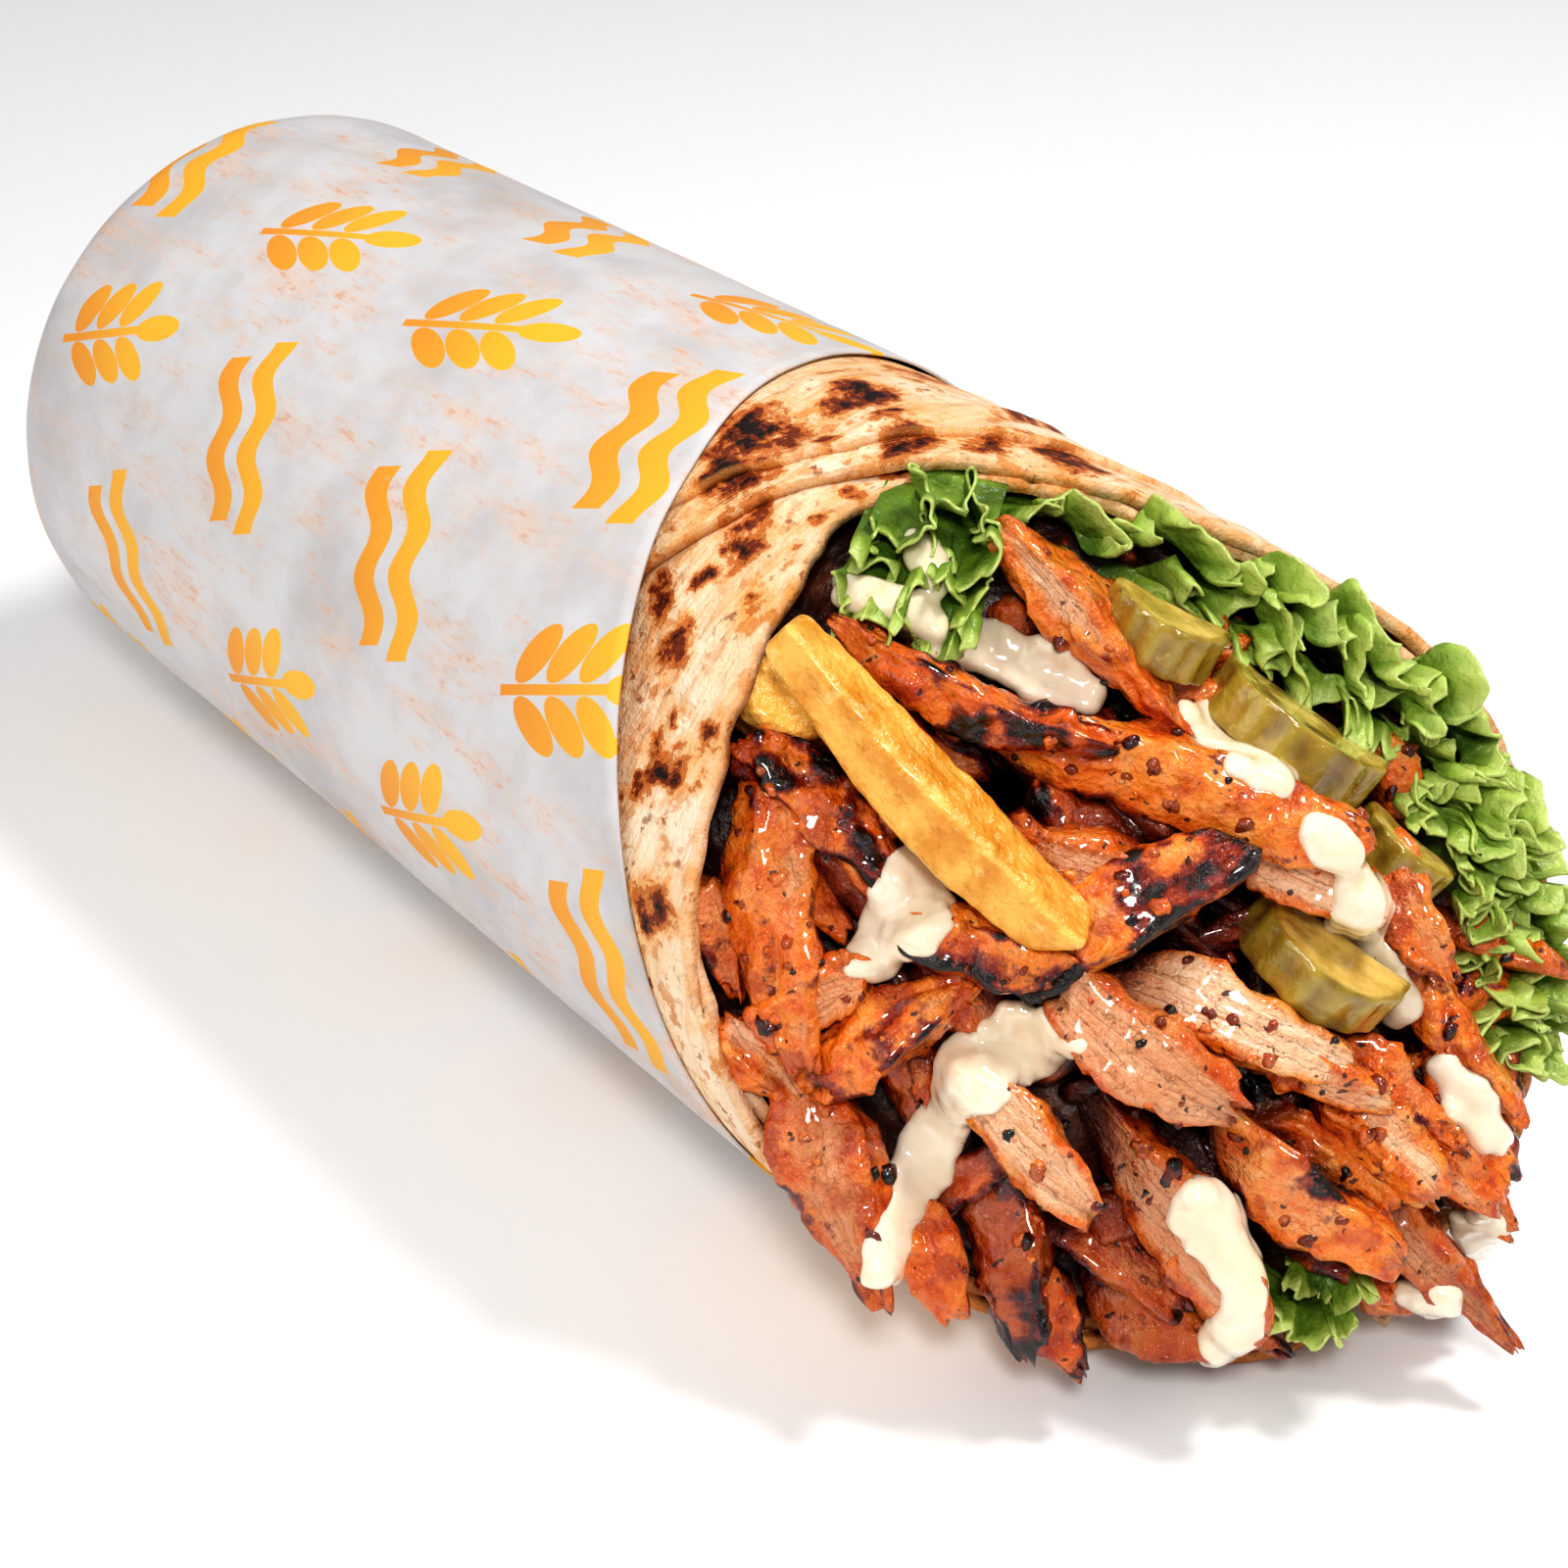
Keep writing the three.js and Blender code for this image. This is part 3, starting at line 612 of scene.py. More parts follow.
# how much deeper the sheet lies as it winds under the fold and under itself
def sheetDrop(degrees):
    below = flatbread["foldThickness"]
    once = flatbread["thickness"] + flatbread["gap"]
    twice = below + once
    first = below * (1 - smooth(degrees, 250, 320))
    second = twice * smooth(degrees, 366, 397)
    third = twice + (once - twice) * smooth(degrees, 610, 680)
    return np.where(degrees < 360, first, np.where(degrees < 600, second, third))


# how toasted each point is
def toastOn(points, degrees, x):
    warpTurn = 1.9 * lumps(points, 3.2, 1) + 1.0 * lumps(points, 1.4, 2)
    warpAlong = 1.9 * lumps(points, 3.2, 3) + 1.0 * lumps(points, 1.4, 4)
    spots = list(flatbread["spots"])
    rng = np.random.default_rng(flatbread["strewnSeed"])
    for count, *ranges in flatbread["strewn"]:
        spots += [tuple(rng.uniform(*span) for span in ranges) for k in range(count)]
    toast = np.zeros(len(x))
    for spotAngle, spotX, radius, strength in spots:
        turnAway = (degrees - spotAngle + 180) % 360 - 180
        aside = np.radians(turnAway) * flatbread["spotRound"] + warpTurn
        far = np.hypot(aside, (x - spotX) * 1.2 + warpAlong) / radius
        toast = np.maximum(toast, strength * np.exp(-(far ** 2) * 0.8))
    return toast


# wrinkles along the bread's edges, and the lift of its blisters
def breadRelief(points, degrees, x, toast):
    drawn = rowOf(np.radians(degrees) * flatbread["round"] * 0.16, x)
    wrinkles = 0.7 * lumps(drawn, 2.4) + 0.45 * lumps(drawn, 1.3, 3)
    return flatbread["puff"] * (wrinkles + manyLumps(points, 8, 3) + 0.6 * toast)


# distance along for each row of a sheet, with few of the rows under the paper
def breadAlong(v, degrees, rim):
    share = flatbread["hiddenShare"]
    mark = np.minimum(paperRimAt(degrees) - 4, rim - 2)
    hidden = lerp(roll["breadStart"], mark, v / share)
    return np.where(v < share, hidden, lerp(mark, rim, (v - share) / (1 - share)))


# shapes a sheet where it shows, and tints it with its toast, its darker bottom and its edge
def bakeSheet(piece, x, degrees, depth, thickness, nearRim, scorch, lip):
    flatPlace = rollPoint(x, depth, degrees)
    toast = np.maximum(toastOn(flatPlace, degrees % 360, x), scorch)
    shown = smooth(x - paperRimAt(degrees), 0, 4)
    relief = breadRelief(flatPlace, degrees, x, toast) + lip
    setPoints(piece, rollPoint(x, depth - shown * relief, degrees))
    setUv(piece, np.stack([np.radians(degrees) * flatbread["round"], x], -1))
    setTint(piece, "toast", toast, nearRim, 0.0)
    applyModifier(piece, "SOLIDIFY", thickness=thickness * mm, offset=0.0)


def makeBread(spec):
    # the rolled sheet, from its slanting outer edge inwards
    piece, u, v = addSheet("rolledSheet", spec["columns"], spec["rows"])
    nominal = lerp(spec["edgeAtRim"], spec["sheetEnd"], u)
    turn = np.radians(nominal)
    edgePlace = np.stack([np.cos(turn) * spec["round"], np.sin(turn) * spec["round"], nominal / 20], -1)
    wave = 0.5 * np.sin(np.radians(5 * nominal)) * np.sin(np.radians(2.3 * nominal))
    wave = wave + 0.8 * lumps(edgePlace, 5) + 0.35 * lumps(edgePlace, 1.8)
    below = smooth(-np.sin(turn), 0.2, 0.7)
    rim = breadRimAt(nominal) - smooth(nominal, 560, 660) + wave * (1 + 0.9 * below)
    x = breadAlong(v, nominal, rim)
    start = lerp(spec["edgeHidden"], spec["edgeAtRim"], smooth(x, spec["edgeFrom"], spec["edgeTo"]))
    degrees = nominal - (spec["edgeAtRim"] - start) * (1 - smooth(u, 0, 0.2))
    depth = breadSkin(x, degrees) + sheetDrop(degrees) + spec["thickness"] / 2
    # the bottom of the rim is darker near its edge
    scorch = below * smooth(x - rim, -7, -0.5) * (0.5 + 0.3 * lumps(edgePlace, 4, 6))
    lip = smooth(x - rim, -3, 0) * 0.5 * lumps(edgePlace, 6, 4)
    nearRim = np.maximum(smooth(x - rim, -1.4, 0), smooth(-u, -0.003, 0))
    bakeSheet(piece, x, degrees, depth, spec["thickness"], nearRim, scorch, lip)

    # the edge folded back over the outer turn
    fold, u, v = addSheet("foldedEdge", spec["foldColumns"], spec["foldRows"])
    degrees = lerp(spec["foldFrom"], spec["foldTo"], u)
    edgePlace = rowOf(degrees / 2)
    rim = spec["foldEdge"] + (degrees - spec["foldAt"]) * spec["foldSlope"]
    rim = rim + 0.7 * lumps(edgePlace, 6) + 0.3 * lumps(edgePlace, 2)
    x = breadAlong(v, degrees, rim)
    depth = breadSkin(x, degrees) + spec["foldThickness"] / 2 + spec["foldDrop"]
    bakeSheet(fold, x, degrees, depth, spec["foldThickness"], smooth(x - rim, -1.4, 0), 0.0, 0.0)
    finishPiece(joinPieces([piece, fold], "flatbread"), breadMaterial(), ["bread"])


makeBread(flatbread)


# grilled chicken

chickenHeap = {
    "thickness": 6.2, "sides": 42, "rings": 62, "pale": 0.55, "charred": 0.75,
    # across, up, turn, length, width, lift, then paleness, char and roll of each slice
    "slices": [
        (-2.6, 24, -48, 23, 6.4, 1.0, 0.8, 0.3, 20),
        (-13.5, 18, -25, 25, 5.5, 1.5, 0.1, 0.85, 25),
        (4.5, 11.5, -19, 33, 8, 1.5, 0.45, 0.45, 18),
        (13.5, 4.5, -32, 17, 7, 1, 0.75, 0.5, 10),
        (0, 1, 33, 21, 8.5, 1, 0.3, 0.85, -15),
        (-11, -2.5, -15, 13.5, 8, 0.5, 0.1, 0.85, 0),
        (-29, 0.5, -84, 27, 9, -1.5, 0.4, 0.5, 12),
        (-24.5, 9, -41, 19, 7.5, -1.5, 0.3, 0.6, 5),
        (-19.5, -9.5, 35, 17, 7.5, -0.5, 0.3, 0.5, -20),
        (-23, -23, -73, 20, 8.5, 0, 0.4, 0.4, 15),
        (-8.5, -18.5, -51, 16.5, 8, 1.5, 0.9, 0.2, 10),
        (5, -24.5, -55, 25, 9, 1, 0.85, 0.25, 14),
        (1.5, -11, -34, 18, 8, 2.2, 0.9, 0.35, 14),
        (9, -8.5, -21, 22, 7, 0.2, 0.8, 0.35, -16),
        (15, -23, -40, 21, 7.5, 1.5, 0.25, 0.8, 22),
        (25, -26, -50, 30, 6.5, 1, 0.5, 0.35, 15),
        (24, -15.5, -37, 15.5, 5.5, 1, 0.45, 0.4, -10),
        (18, -20.5, -36, 16.5, 6.5, -0.5, 0.6, 0.3, 10),
        (31.5, -24, -46, 12, 6.5, -1, 0.6, 0.25, 0),
        (29.5, -10.5, -58, 15.5, 5.5, -0.5, 0.3, 0.4, 20),
        (24.5, 0, -60, 12.5, 6, 0, 0.35, 0.4, 0),
        (-9.5, -29.5, -77, 16.5, 8.5, -0.5, 0.1, 0.78, 18),
        (0.5, -29, -36, 14.5, 7.5, -1.5, 0.3, 0.6, 0),
        (26.5, -32.5, -22, 12.5, 6.5, -1, 0.5, 0.3, 0),
        (-30.5, -12.5, -50, 9.5, 7.5, -1, 0.6, 0.3, 0),
        (-33.5, -2, -80, 9.5, 6, -2, 0.3, 0.5, 0),
        (31, -17.5, -62, 13, 5.5, -1, 0.3, 0.5, 10),
        (34, -14, -70, 11, 5, -2, 0.3, 0.4, 0),
        (17, -13, -28, 13, 5, 1, 0.4, 0.4, 20),
        (22, -19.5, -44, 14, 5, 1.4, 0.55, 0.3, -12),
        (28, -19.5, -52, 16, 5, 0.6, 0.6, 0.3, 12),
        (-4, 5, -12, 12, 5.5, -1, 0.6, 0.2, 10),
        (-26, -6.5, 20, 11, 6, -1.2, 0.5, 0.3, 0),
        (20, -29.5, -34, 13, 5.5, -0.8, 0.35, 0.5, 0),
        (-5.5, -34, -60, 12, 7, -0.5, 0.15, 0.75, 0),
        (3, -34.5, -40, 13, 7, -0.5, 0.2, 0.7, 10),
        (-16, -29.5, -70, 11, 6, -0.5, 0.35, 0.5, 0),
        (12, -34.5, -45, 10, 6, -0.8, 0.4, 0.5, 0),
    ],
    "bits": 110, "bitSides": 18, "bitRings": 22, "bitReach": 38, "bitRound": 25, "seed": 4,
    "crumbs": 320, "crumbReach": 35, "crumbSeed": 12,
}


def chickenMaterial():
    material, tree, shader = newMaterial("grilledChicken")
    place, along = objectPlace(tree), uvPlace(tree)
    pale, char, tone = tintParts(tree, "meat")
    cloud = noise(tree, place, 330.0, 4.0, 0.62)
    uneven = minus(tree, cloud, 0.5)
    grain = noise(tree, stretch(tree, along, (0.16, 1.1, 1.0)), 1.0, 4.0, 0.62)
    # bundles of fibre, with thin lines between them
    bundles = sway(tree, stretch(tree, along, (0.16, 0.62, 1.0)), cloud, 1.4)
    cells = addNode(tree, "ShaderNodeTexVoronoi", {"Vector": bundles, "Scale": 1.0},
                    feature="DISTANCE_TO_EDGE")
    lines = minus(tree, 1.0, between(tree, cells.outputs["Distance"], 0.0, 0.07))
    skinTone = plus(tree, cloud, times(tree, minus(tree, grain, 0.5), 0.12))
    skin = ramp(tree, skinTone, [(0.26, (0.5, 0.05, 0.006)), (0.41, (0.82, 0.2, 0.017)),
                                 (0.56, (0.93, 0.33, 0.04)), (0.74, (0.98, 0.54, 0.16))])
    meat = ramp(tree, grain, [(0.28, (0.86, 0.43, 0.21)), (0.42, (0.89, 0.51, 0.29)),
                              (0.56, (0.92, 0.6, 0.38)), (0.74, (0.96, 0.74, 0.55))])
    meat = paint(tree, meat, (lines, 0.22, (0.78, 0.35, 0.15)))
    paleShare = plus(tree, pale, times(tree, uneven, 0.9))
    glaze = patchMask(tree, place, 230.0, 0.53, 0.64)
    glaze = times(tree, glaze, minus(tree, 1.0, between(tree, paleShare, 0.25, 0.8)))
    burn = plus(tree, char, times(tree, uneven, 1.5))
    pepper = speckMask(tree, place, 640.0, 0.21, 0.45)
    paprika = speckMask(tree, place, 1100.0, 0.26, 0.4)
    colour = paint(tree, skin,
                   (between(tree, paleShare, 0.2, 0.85), 1, meat),
                   (glaze, 0.6, (0.4, 0.03, 0.005)),
                   (between(tree, burn, 0.25, 0.5), 1, (0.24, 0.014, 0.004)),
                   (between(tree, burn, 0.48, 0.64), 1, (0.012, 0.004, 0.003)),
                   (pepper, 0.9, (0.035, 0.007, 0.004)),
                   (paprika, 0.45, (0.5, 0.08, 0.012)))
    # the tone channel darkens the colour: tone that differs from slice to slice, with painted shade in the
    # gaps, low down and on the low bits, and painted light to the right
    shade = ramp(tree, tone, [(0.0, (0.03, 0.008, 0.006)), (0.3, (0.3, 0.12, 0.08)),
                              (0.6, (0.8, 0.58, 0.45)), (1.0, (1, 1, 1))])
    colour = blendColour(tree, 1.0, colour, shade, "MULTIPLY")
    setShader(tree, shader, colour, {"Coat Weight": 0.75, "Coat Roughness": 0.08})
    tree.links.new(plus(tree, 0.14, times(tree, cloud, 0.3)), shader.inputs["Roughness"])
    fibres = minus(tree, times(tree, grain, 0.45), times(tree, lines, 0.13))
    height = times(tree, fibres, between(tree, paleShare, 0.2, 0.8))
    height = plus(tree, height, times(tree, cloud, 0.9))
    height = plus(tree, height, times(tree, noise(tree, place, 1000.0, 3.0), 0.6))
    addBump(tree, shader, height, 0.85, 0.0012)
    return material


def addBall(name, sides, rings):
    ball = addMesh(bpy.ops.mesh.primitive_uv_sphere_add, name, segments=sides, ring_count=rings, radius=1)
    place = meshPoints(ball)
    polar = np.arccos(np.clip(place[:, 2], -1, 1))
    turn = np.arctan2(place[:, 1], place[:, 0])
    uv = np.zeros(len(ball.data.loops) * 2, np.float32)
    ball.data.uv_layers.active.data.foreach_get("uv", uv)
    return {"ball": ball, "polar": polar, "turn": turn, "uv": uv.reshape(-1, 2)}


# one slice: flat faces with ragged edges between them, its top cut along the fibres
def shapeSlice(template, length, width, thick, rng):
    turn = template["turn"]
    share = template["polar"] / math.pi * 2 - 1
    x = share * length / 2
    seedShift = rng.uniform(0, 90, 3)
    flats = []
    angles = [90, 270, 0, 180] + list(rng.uniform(0, 360, 2))
    halves = [thick / 2, thick / 2, width / 2, width / 2]
    for k, degrees in enumerate(angles):
        row = rowOf(x, k * 9.1) + seedShift
        angle = math.radians(degrees + rng.uniform(-16, 16)) + 0.25 * lumps(row, 9)
        oval = math.hypot(math.cos(angle[0]) * width / 2, math.sin(angle[0]) * thick / 2)
        far = halves[k] if k < len(halves) else rng.uniform(0.84, 0.98) * oval
        far = far * (1 + 0.24 * lumps(row, 5, 2) + 0.1 * lumps(row, 2.2, 5))
        flats.append(np.maximum(0, np.cos(turn - angle)) / far)
    flats = np.array(flats)
    radial = (flats ** 14).sum(0) ** (-1 / 14)
    ordered = np.sort(flats, 0)
    edges = smooth(ordered[-2] / ordered[-1], 0.78, 0.98)
    nearEdge = smooth(ordered[-2] / ordered[-1], 0.4, 1)
    cut = flats[0] ** 8 / (flats ** 8).sum(0)
    blunt = np.where(share > 0, rng.uniform(3.5, 9), rng.uniform(3.5, 9))
    closing = np.maximum(0, 1 - np.abs(share) ** blunt) ** 0.42
    narrow = 1 - rng.uniform(0.1, 0.65) * smooth(share, -0.3, 1)
    narrow = narrow - rng.uniform(0, 0.4) * smooth(-share, -0.1, 1)
    around = np.stack([x, np.cos(turn) * radial, np.sin(turn) * radial], -1) + seedShift
    rough = 0.3 * lumps(around, 1.7, 2) + 0.16 * lumps(around, 0.85, 3)
    ragged = 0.9 * lumps(around, 3.4, 9) + 0.75 * lumps(around, 1.6, 4) + 0.22 * lumps(around, 0.8, 5)
    fibres = cut * 0.12 * lumps(around * (0.14, 1, 1), 1.1, 6)
    radial = (radial * narrow + rough * (1 - 0.55 * cut) + edges * ragged + fibres) * closing
    y = np.cos(turn) * radial
    z = np.sin(turn) * radial
    ends = smooth(np.abs(share), 0.72, 1)
    x = x + ends * (1.3 * lumps(around, 1.6, 7) + 0.7 * lumps(around, 0.8, 8))
    slant = rng.uniform(-0.7, 0.7) * smooth(share, 0.1, 1)
    slant = slant + rng.uniform(-0.7, 0.7) * smooth(-share, 0.1, 1)
    x = x + y * slant
    twist = rng.uniform(-0.35, 0.35) * share
    bow = rng.uniform(-0.07, 0.04) * length * share ** 2
    aside = rng.uniform(-0.06, 0.06) * length * share ** 2
    y, z = y * np.cos(twist) - z * np.sin(twist) + aside, y * np.sin(twist) + z * np.cos(twist) + bow
    return np.stack([x, y, z], -1), {"cut": cut, "edges": edges, "nearEdge": nearEdge, "ends": ends}


# fibres run along the uv; the tint holds paleness, char, and a tone that carries painted shade and painted
# light
def tintSlice(piece, template, local, marks, length, around, pale, char, tone, rng):
    uv = np.stack([template["uv"][:, 1] * length, template["uv"][:, 0] * around], -1) + rng.uniform(0, 50)
    piece.data.uv_layers.active.data.foreach_set("uv", uv.astype(np.float32).ravel())
    place = local + rng.uniform(0, 60, 3)
    patch = np.clip(lumps(place, 5, 2) * 1.3 + 0.5 * lumps(place, 2.2, 3) + 0.35, 0, 1.2)
    cut = marks["cut"] * pale * 1.35 * (1 - 0.8 * marks["nearEdge"]) * (1 - 0.55 * marks["ends"])
    cut = cut + (1 - marks["cut"]) * (pale - 0.6) + 0.15 * lumps(place, 3)
    burn = char * (0.08 + 0.34 * marks["edges"] + 0.25 * marks["ends"] + 0.75 * patch)
    burn = burn - 0.12 + 0.1 * marks["edges"] - 0.25 * pale * marks["cut"]
    setTint(piece, "meat", np.clip(cut, 0, 1), np.clip(burn, 0, 1), tone)


def makeChicken(spec):
    rng = np.random.default_rng(spec["seed"])
    large = addBall("sliceTemplate", spec["sides"], spec["rings"])
    small = addBall("bitTemplate", spec["bitSides"], spec["bitRings"])
    kinds = {"orangeSlices": [], "paleSlices": [], "charredSlices": [], "chickenBits": []}
    for across, up, turn, length, width, lift, pale, char, spin in spec["slices"]:
        piece = copyOf(large["ball"], "slice")
        thick = spec["thickness"] * rng.uniform(0.8, 1.1)
        local, marks = shapeSlice(large, length * 1.02, width * 0.92, thick, rng)
        out = heapAt(across, up) + lift
        tilt, spin = rng.uniform(3, 13), spin + rng.uniform(-8, 8)
        setPoints(piece, placeOnFace(local, (across, up, out), turn, tilt, spin))
        # darker low down, lighter to the right: painted shade low down and painted light on the side the key
        # lamp comes from
        side = (1 - 0.34 * smooth(-up, 14, 32)) * lerp(0.92, 1.12, smooth(across, -28, 24))
        tone = rng.uniform(0.54, 0.96) * side
        tintSlice(piece, large, local, marks, length, (width + thick) * 2, pale, char, tone, rng)
        paleKind = "paleSlices" if pale > spec["pale"] else "orangeSlices"
        kinds["charredSlices" if char > spec["charred"] else paleKind].append(piece)
    while len(kinds["chickenBits"]) < spec["bits"]:
        far, way = spec["bitReach"] * math.sqrt(rng.uniform(0, 1)), rng.uniform(0, 2 * math.pi)
        across, up = far * math.cos(way), far * math.sin(way)
        length, width, thick = rng.uniform(6, 15), rng.uniform(3, 6), rng.uniform(2.5, 4.5)
        out = heapAt(across, up) - rng.uniform(2.2, 5.2)
        middle = onFace(across, up, out)
        if math.hypot(middle[1], middle[2] - 35) > spec["bitRound"]:
            continue
        piece = copyOf(small["ball"], "bit")
        local, marks = shapeSlice(small, length, width, thick, rng)
        tilt, spin, turn = rng.uniform(-20, 20), rng.uniform(-40, 40), rng.normal(-40, 35)
        setPoints(piece, placeOnFace(local, (across, up, out), turn, tilt, spin))
        # the bits lie low between the slices: their darker tone is painted shade
        pale, char, tone = rng.uniform(0, 0.7), rng.uniform(0.2, 0.9), rng.uniform(0.35, 0.75)
        tintSlice(piece, small, local, marks, length, (width + thick) * 2, pale, char, tone, rng)
        kinds["chickenBits"].append(piece)
    bpy.data.objects.remove(large["ball"])
    bpy.data.objects.remove(small["ball"])
    return [joinPieces(pieces, name) for name, pieces in kinds.items()]


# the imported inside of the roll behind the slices

packedCore = {"sides": 100, "rings": 80, "inset": 5.4, "sink": 5.0, "widestAt": 145.0, "pastRim": 12,
              "frontShare": 0.6, "wallShare": 0.8}


def coreMaterial():
    material, tree, shader = newMaterial("packedFilling")
    # coloured near black: painted shade deep in the gaps between the slices
    cloud = noise(tree, objectPlace(tree), 260.0, 6.0)
    colour = ramp(tree, cloud, [(0.3, (0.01, 0.004, 0.003)), (0.5, (0.05, 0.011, 0.005)),
                                (0.7, (0.16, 0.04, 0.012))])
    setShader(tree, shader, colour, {"Roughness": 0.4})
    addBump(tree, shader, cloud, 0.8, 0.0015)
    return material


def makeCore(spec):
    ball = addBall("packedCore", spec["sides"], spec["rings"])
    core, polar, turn = ball["ball"], ball["polar"], ball["turn"]
    # rings make the front, then the wall, then the back
    frontEnd, wallEnd = spec["frontShare"] * math.pi, spec["wallShare"] * math.pi
    backShare = (math.pi - polar) / (math.pi - wallEnd)
    share = np.where(polar < frontEnd, polar / frontEnd, np.minimum(1, backShare))
    widest = radiusAt(spec["widestAt"])
    radius = share * (widest - spec["inset"])
    y = -radius * np.cos(turn)
    z = np.maximum(widest - roll["flatDepth"] + radius * np.sin(turn), spec["inset"])
    x = np.full(len(y), 140.0)
    for step in range(12):
        across, up, out = faceParts(np.stack([x, y, z], -1))
        x = x + (heapAt(across, up) - spec["sink"] - out) / faceOut[0]
    x = np.minimum(x, breadRimAt(np.degrees(turn)) + spec["pastRim"])
    x = lerp(x, roll["breadStart"] + 1, np.clip((polar - frontEnd) / (wallEnd - frontEnd), 0, 1))
    points = np.stack([x, y, z], -1)
    bump = (1.4 * manyLumps(points, 5, 3) - 0.5) * (1 - smooth(share, 0.88, 1)) * (polar < frontEnd)
    setPoints(core, points + bump[:, None] * faceOut)
    finishPiece(core, coreMaterial(), ["filling"])
    return core


chickenKinds = makeChicken(chickenHeap)
core = makeCore(packedCore)
grilled = chickenMaterial()
for kind in chickenKinds:
    finishPiece(kind, grilled, ["filling"])


# heights of the heap, on a grid over its face

heightGrid = {"step": 0.6, "reach": 43, "floor": 4, "lookFrom": 60.0}


def surfaceTree(pieces):
    points, faces = [], []
    for piece in pieces:
        start = len(points)
        points += [v.co.copy() for v in piece.data.vertices]
        faces += [[start + k for k in p.vertices] for p in piece.data.polygons]
    return BVHTree.FromPolygons(points, faces)


# the point that shows at a place on the heap's face
def heapHit(tree, across, up):
    start = inMetres(onFace(across, up, heightGrid["lookFrom"]))
    hit, normal, index, far = tree.ray_cast(Vector(start), Vector(-faceOut))
    return (np.array(hit) / mm - rollShift, np.array(normal)) if hit else (None, None)


def heapHeights(tree):
    marks = np.arange(-heightGrid["reach"], heightGrid["reach"] + heightGrid["step"], heightGrid["step"])
    heights = np.zeros((len(marks), len(marks)))
    for i, across in enumerate(marks):
        for j, up in enumerate(marks):
            hit, normal = heapHit(tree, across, up)
            floor = heapAt(across, up) - heightGrid["floor"]
            heights[i, j] = max(floor, (hit - faceCentre) @ faceOut) if hit is not None else floor
    return heights


def heightAt(heights, across, up):
    last = len(heights) - 2
    i = np.clip((across + heightGrid["reach"]) / heightGrid["step"], 0, last)
    j = np.clip((up + heightGrid["reach"]) / heightGrid["step"], 0, last)
    a, b = np.floor(i).astype(int), np.floor(j).astype(int)
    low = lerp(heights[a, b], heights[a + 1, b], i - a)
    high = lerp(heights[a, b + 1], heights[a + 1, b + 1], i - a)
    return lerp(low, high, j - b)


def blurred(grid, cells):
    kernel = np.exp(-0.5 * (np.arange(-3 * cells, 3 * cells + 1) / cells) ** 2)
    kernel = kernel / kernel.sum()
    wide = np.pad(grid, 3 * cells, mode="edge")
    wide = np.apply_along_axis(np.convolve, 0, wide, kernel, mode="valid")
    return np.apply_along_axis(np.convolve, 1, wide, kernel, mode="valid")


# heights with the gaps between slices filled in
def bridged(heights):
    return blurred(np.maximum(heights, blurred(heights, 4) - 1.1), 1)


# painted shade: the chicken's colour is darkened in the gaps between the slices, the deeper below the
# smoothed heap the darker
def darkenGaps(pieces, heights):
    level = blurred(heights, 6)
    for piece in pieces:
        across, up, out = faceParts(meshPoints(piece) / mm - rollShift)
        deep = smooth(heightAt(level, across, up) - out, 0.0, 3.9)
        layer = piece.data.color_attributes["meat"]
        tint = np.zeros(len(out) * 4, np.float32)
        layer.data.foreach_get("color", tint)
        tint = tint.reshape(-1, 4)
        # the tone channel takes the painted shade
        tint[:, 2] *= 1 - 0.9 * deep
        layer.data.foreach_set("color", tint.ravel())


heapTree = surfaceTree(chickenKinds + [core])
heights = heapHeights(heapTree)
darkenGaps(chickenKinds, heights)


# crumbs of crust caught between the slices
def makeCrumbs(spec, tree, material):
    rng = np.random.default_rng(spec["crumbSeed"])
    crumb = addMesh(bpy.ops.mesh.primitive_ico_sphere_add, "crumbTemplate", subdivisions=2, radius=1)
    unit = meshPoints(crumb)
    made = []
    while len(made) < spec["crumbs"]:
        far, way = spec["crumbReach"] * math.sqrt(rng.uniform(0, 1)), rng.uniform(0, 2 * math.pi)
        hit, normal = heapHit(tree, far * math.cos(way), far * math.sin(way))
        if hit is None:
            continue
        size = rng.uniform(0.25, 0.85) * rng.uniform(0.6, 1.1)
        swell = 1 + 0.7 * lumps(unit * 2 + rng.uniform(0, 50), 1.6)
        lumpy = unit * swell[:, None] * rng.uniform(0.7, 1.3, 3)
        piece = copyOf(crumb, "crumb")
        setPoints(piece, hit + normal * size * 0.35 + lumpy * size)
        setUv(piece, unit[:, :2] * size + rng.uniform(0, 50))
        setTint(piece, "meat", rng.uniform(0, 0.4), rng.choice([0.05, 0.15, 0.3, 0.6]), rng.uniform(0.2, 0.8))
        made.append(piece)
    bpy.data.objects.remove(crumb)
    finishPiece(joinPieces(made, "crustCrumbs"), material, [])


makeCrumbs(chickenHeap, heapTree, grilled)


# fries

friedPotato = {
    "width": 5.9, "bevel": 1.3, "bevelSteps": 4, "voxel": 0.35, "softening": 4,
    # places are across, up and out of the face
    "sticks": {
        "fryLong": {"node": "fry_long", "place": (-17.5, 11, 15), "turn": -47.5, "roll": 38, "length": 34,
                    "pale": 0.0},
        # pale lightens the short fry's colour: painted light on it, as it lies in shade
        "fryShort": {"node": "fry_short", "place": (-30, 18.5, 5.5), "turn": -35, "roll": -15, "length": 12,
                     "pale": 1.0},
    },
}


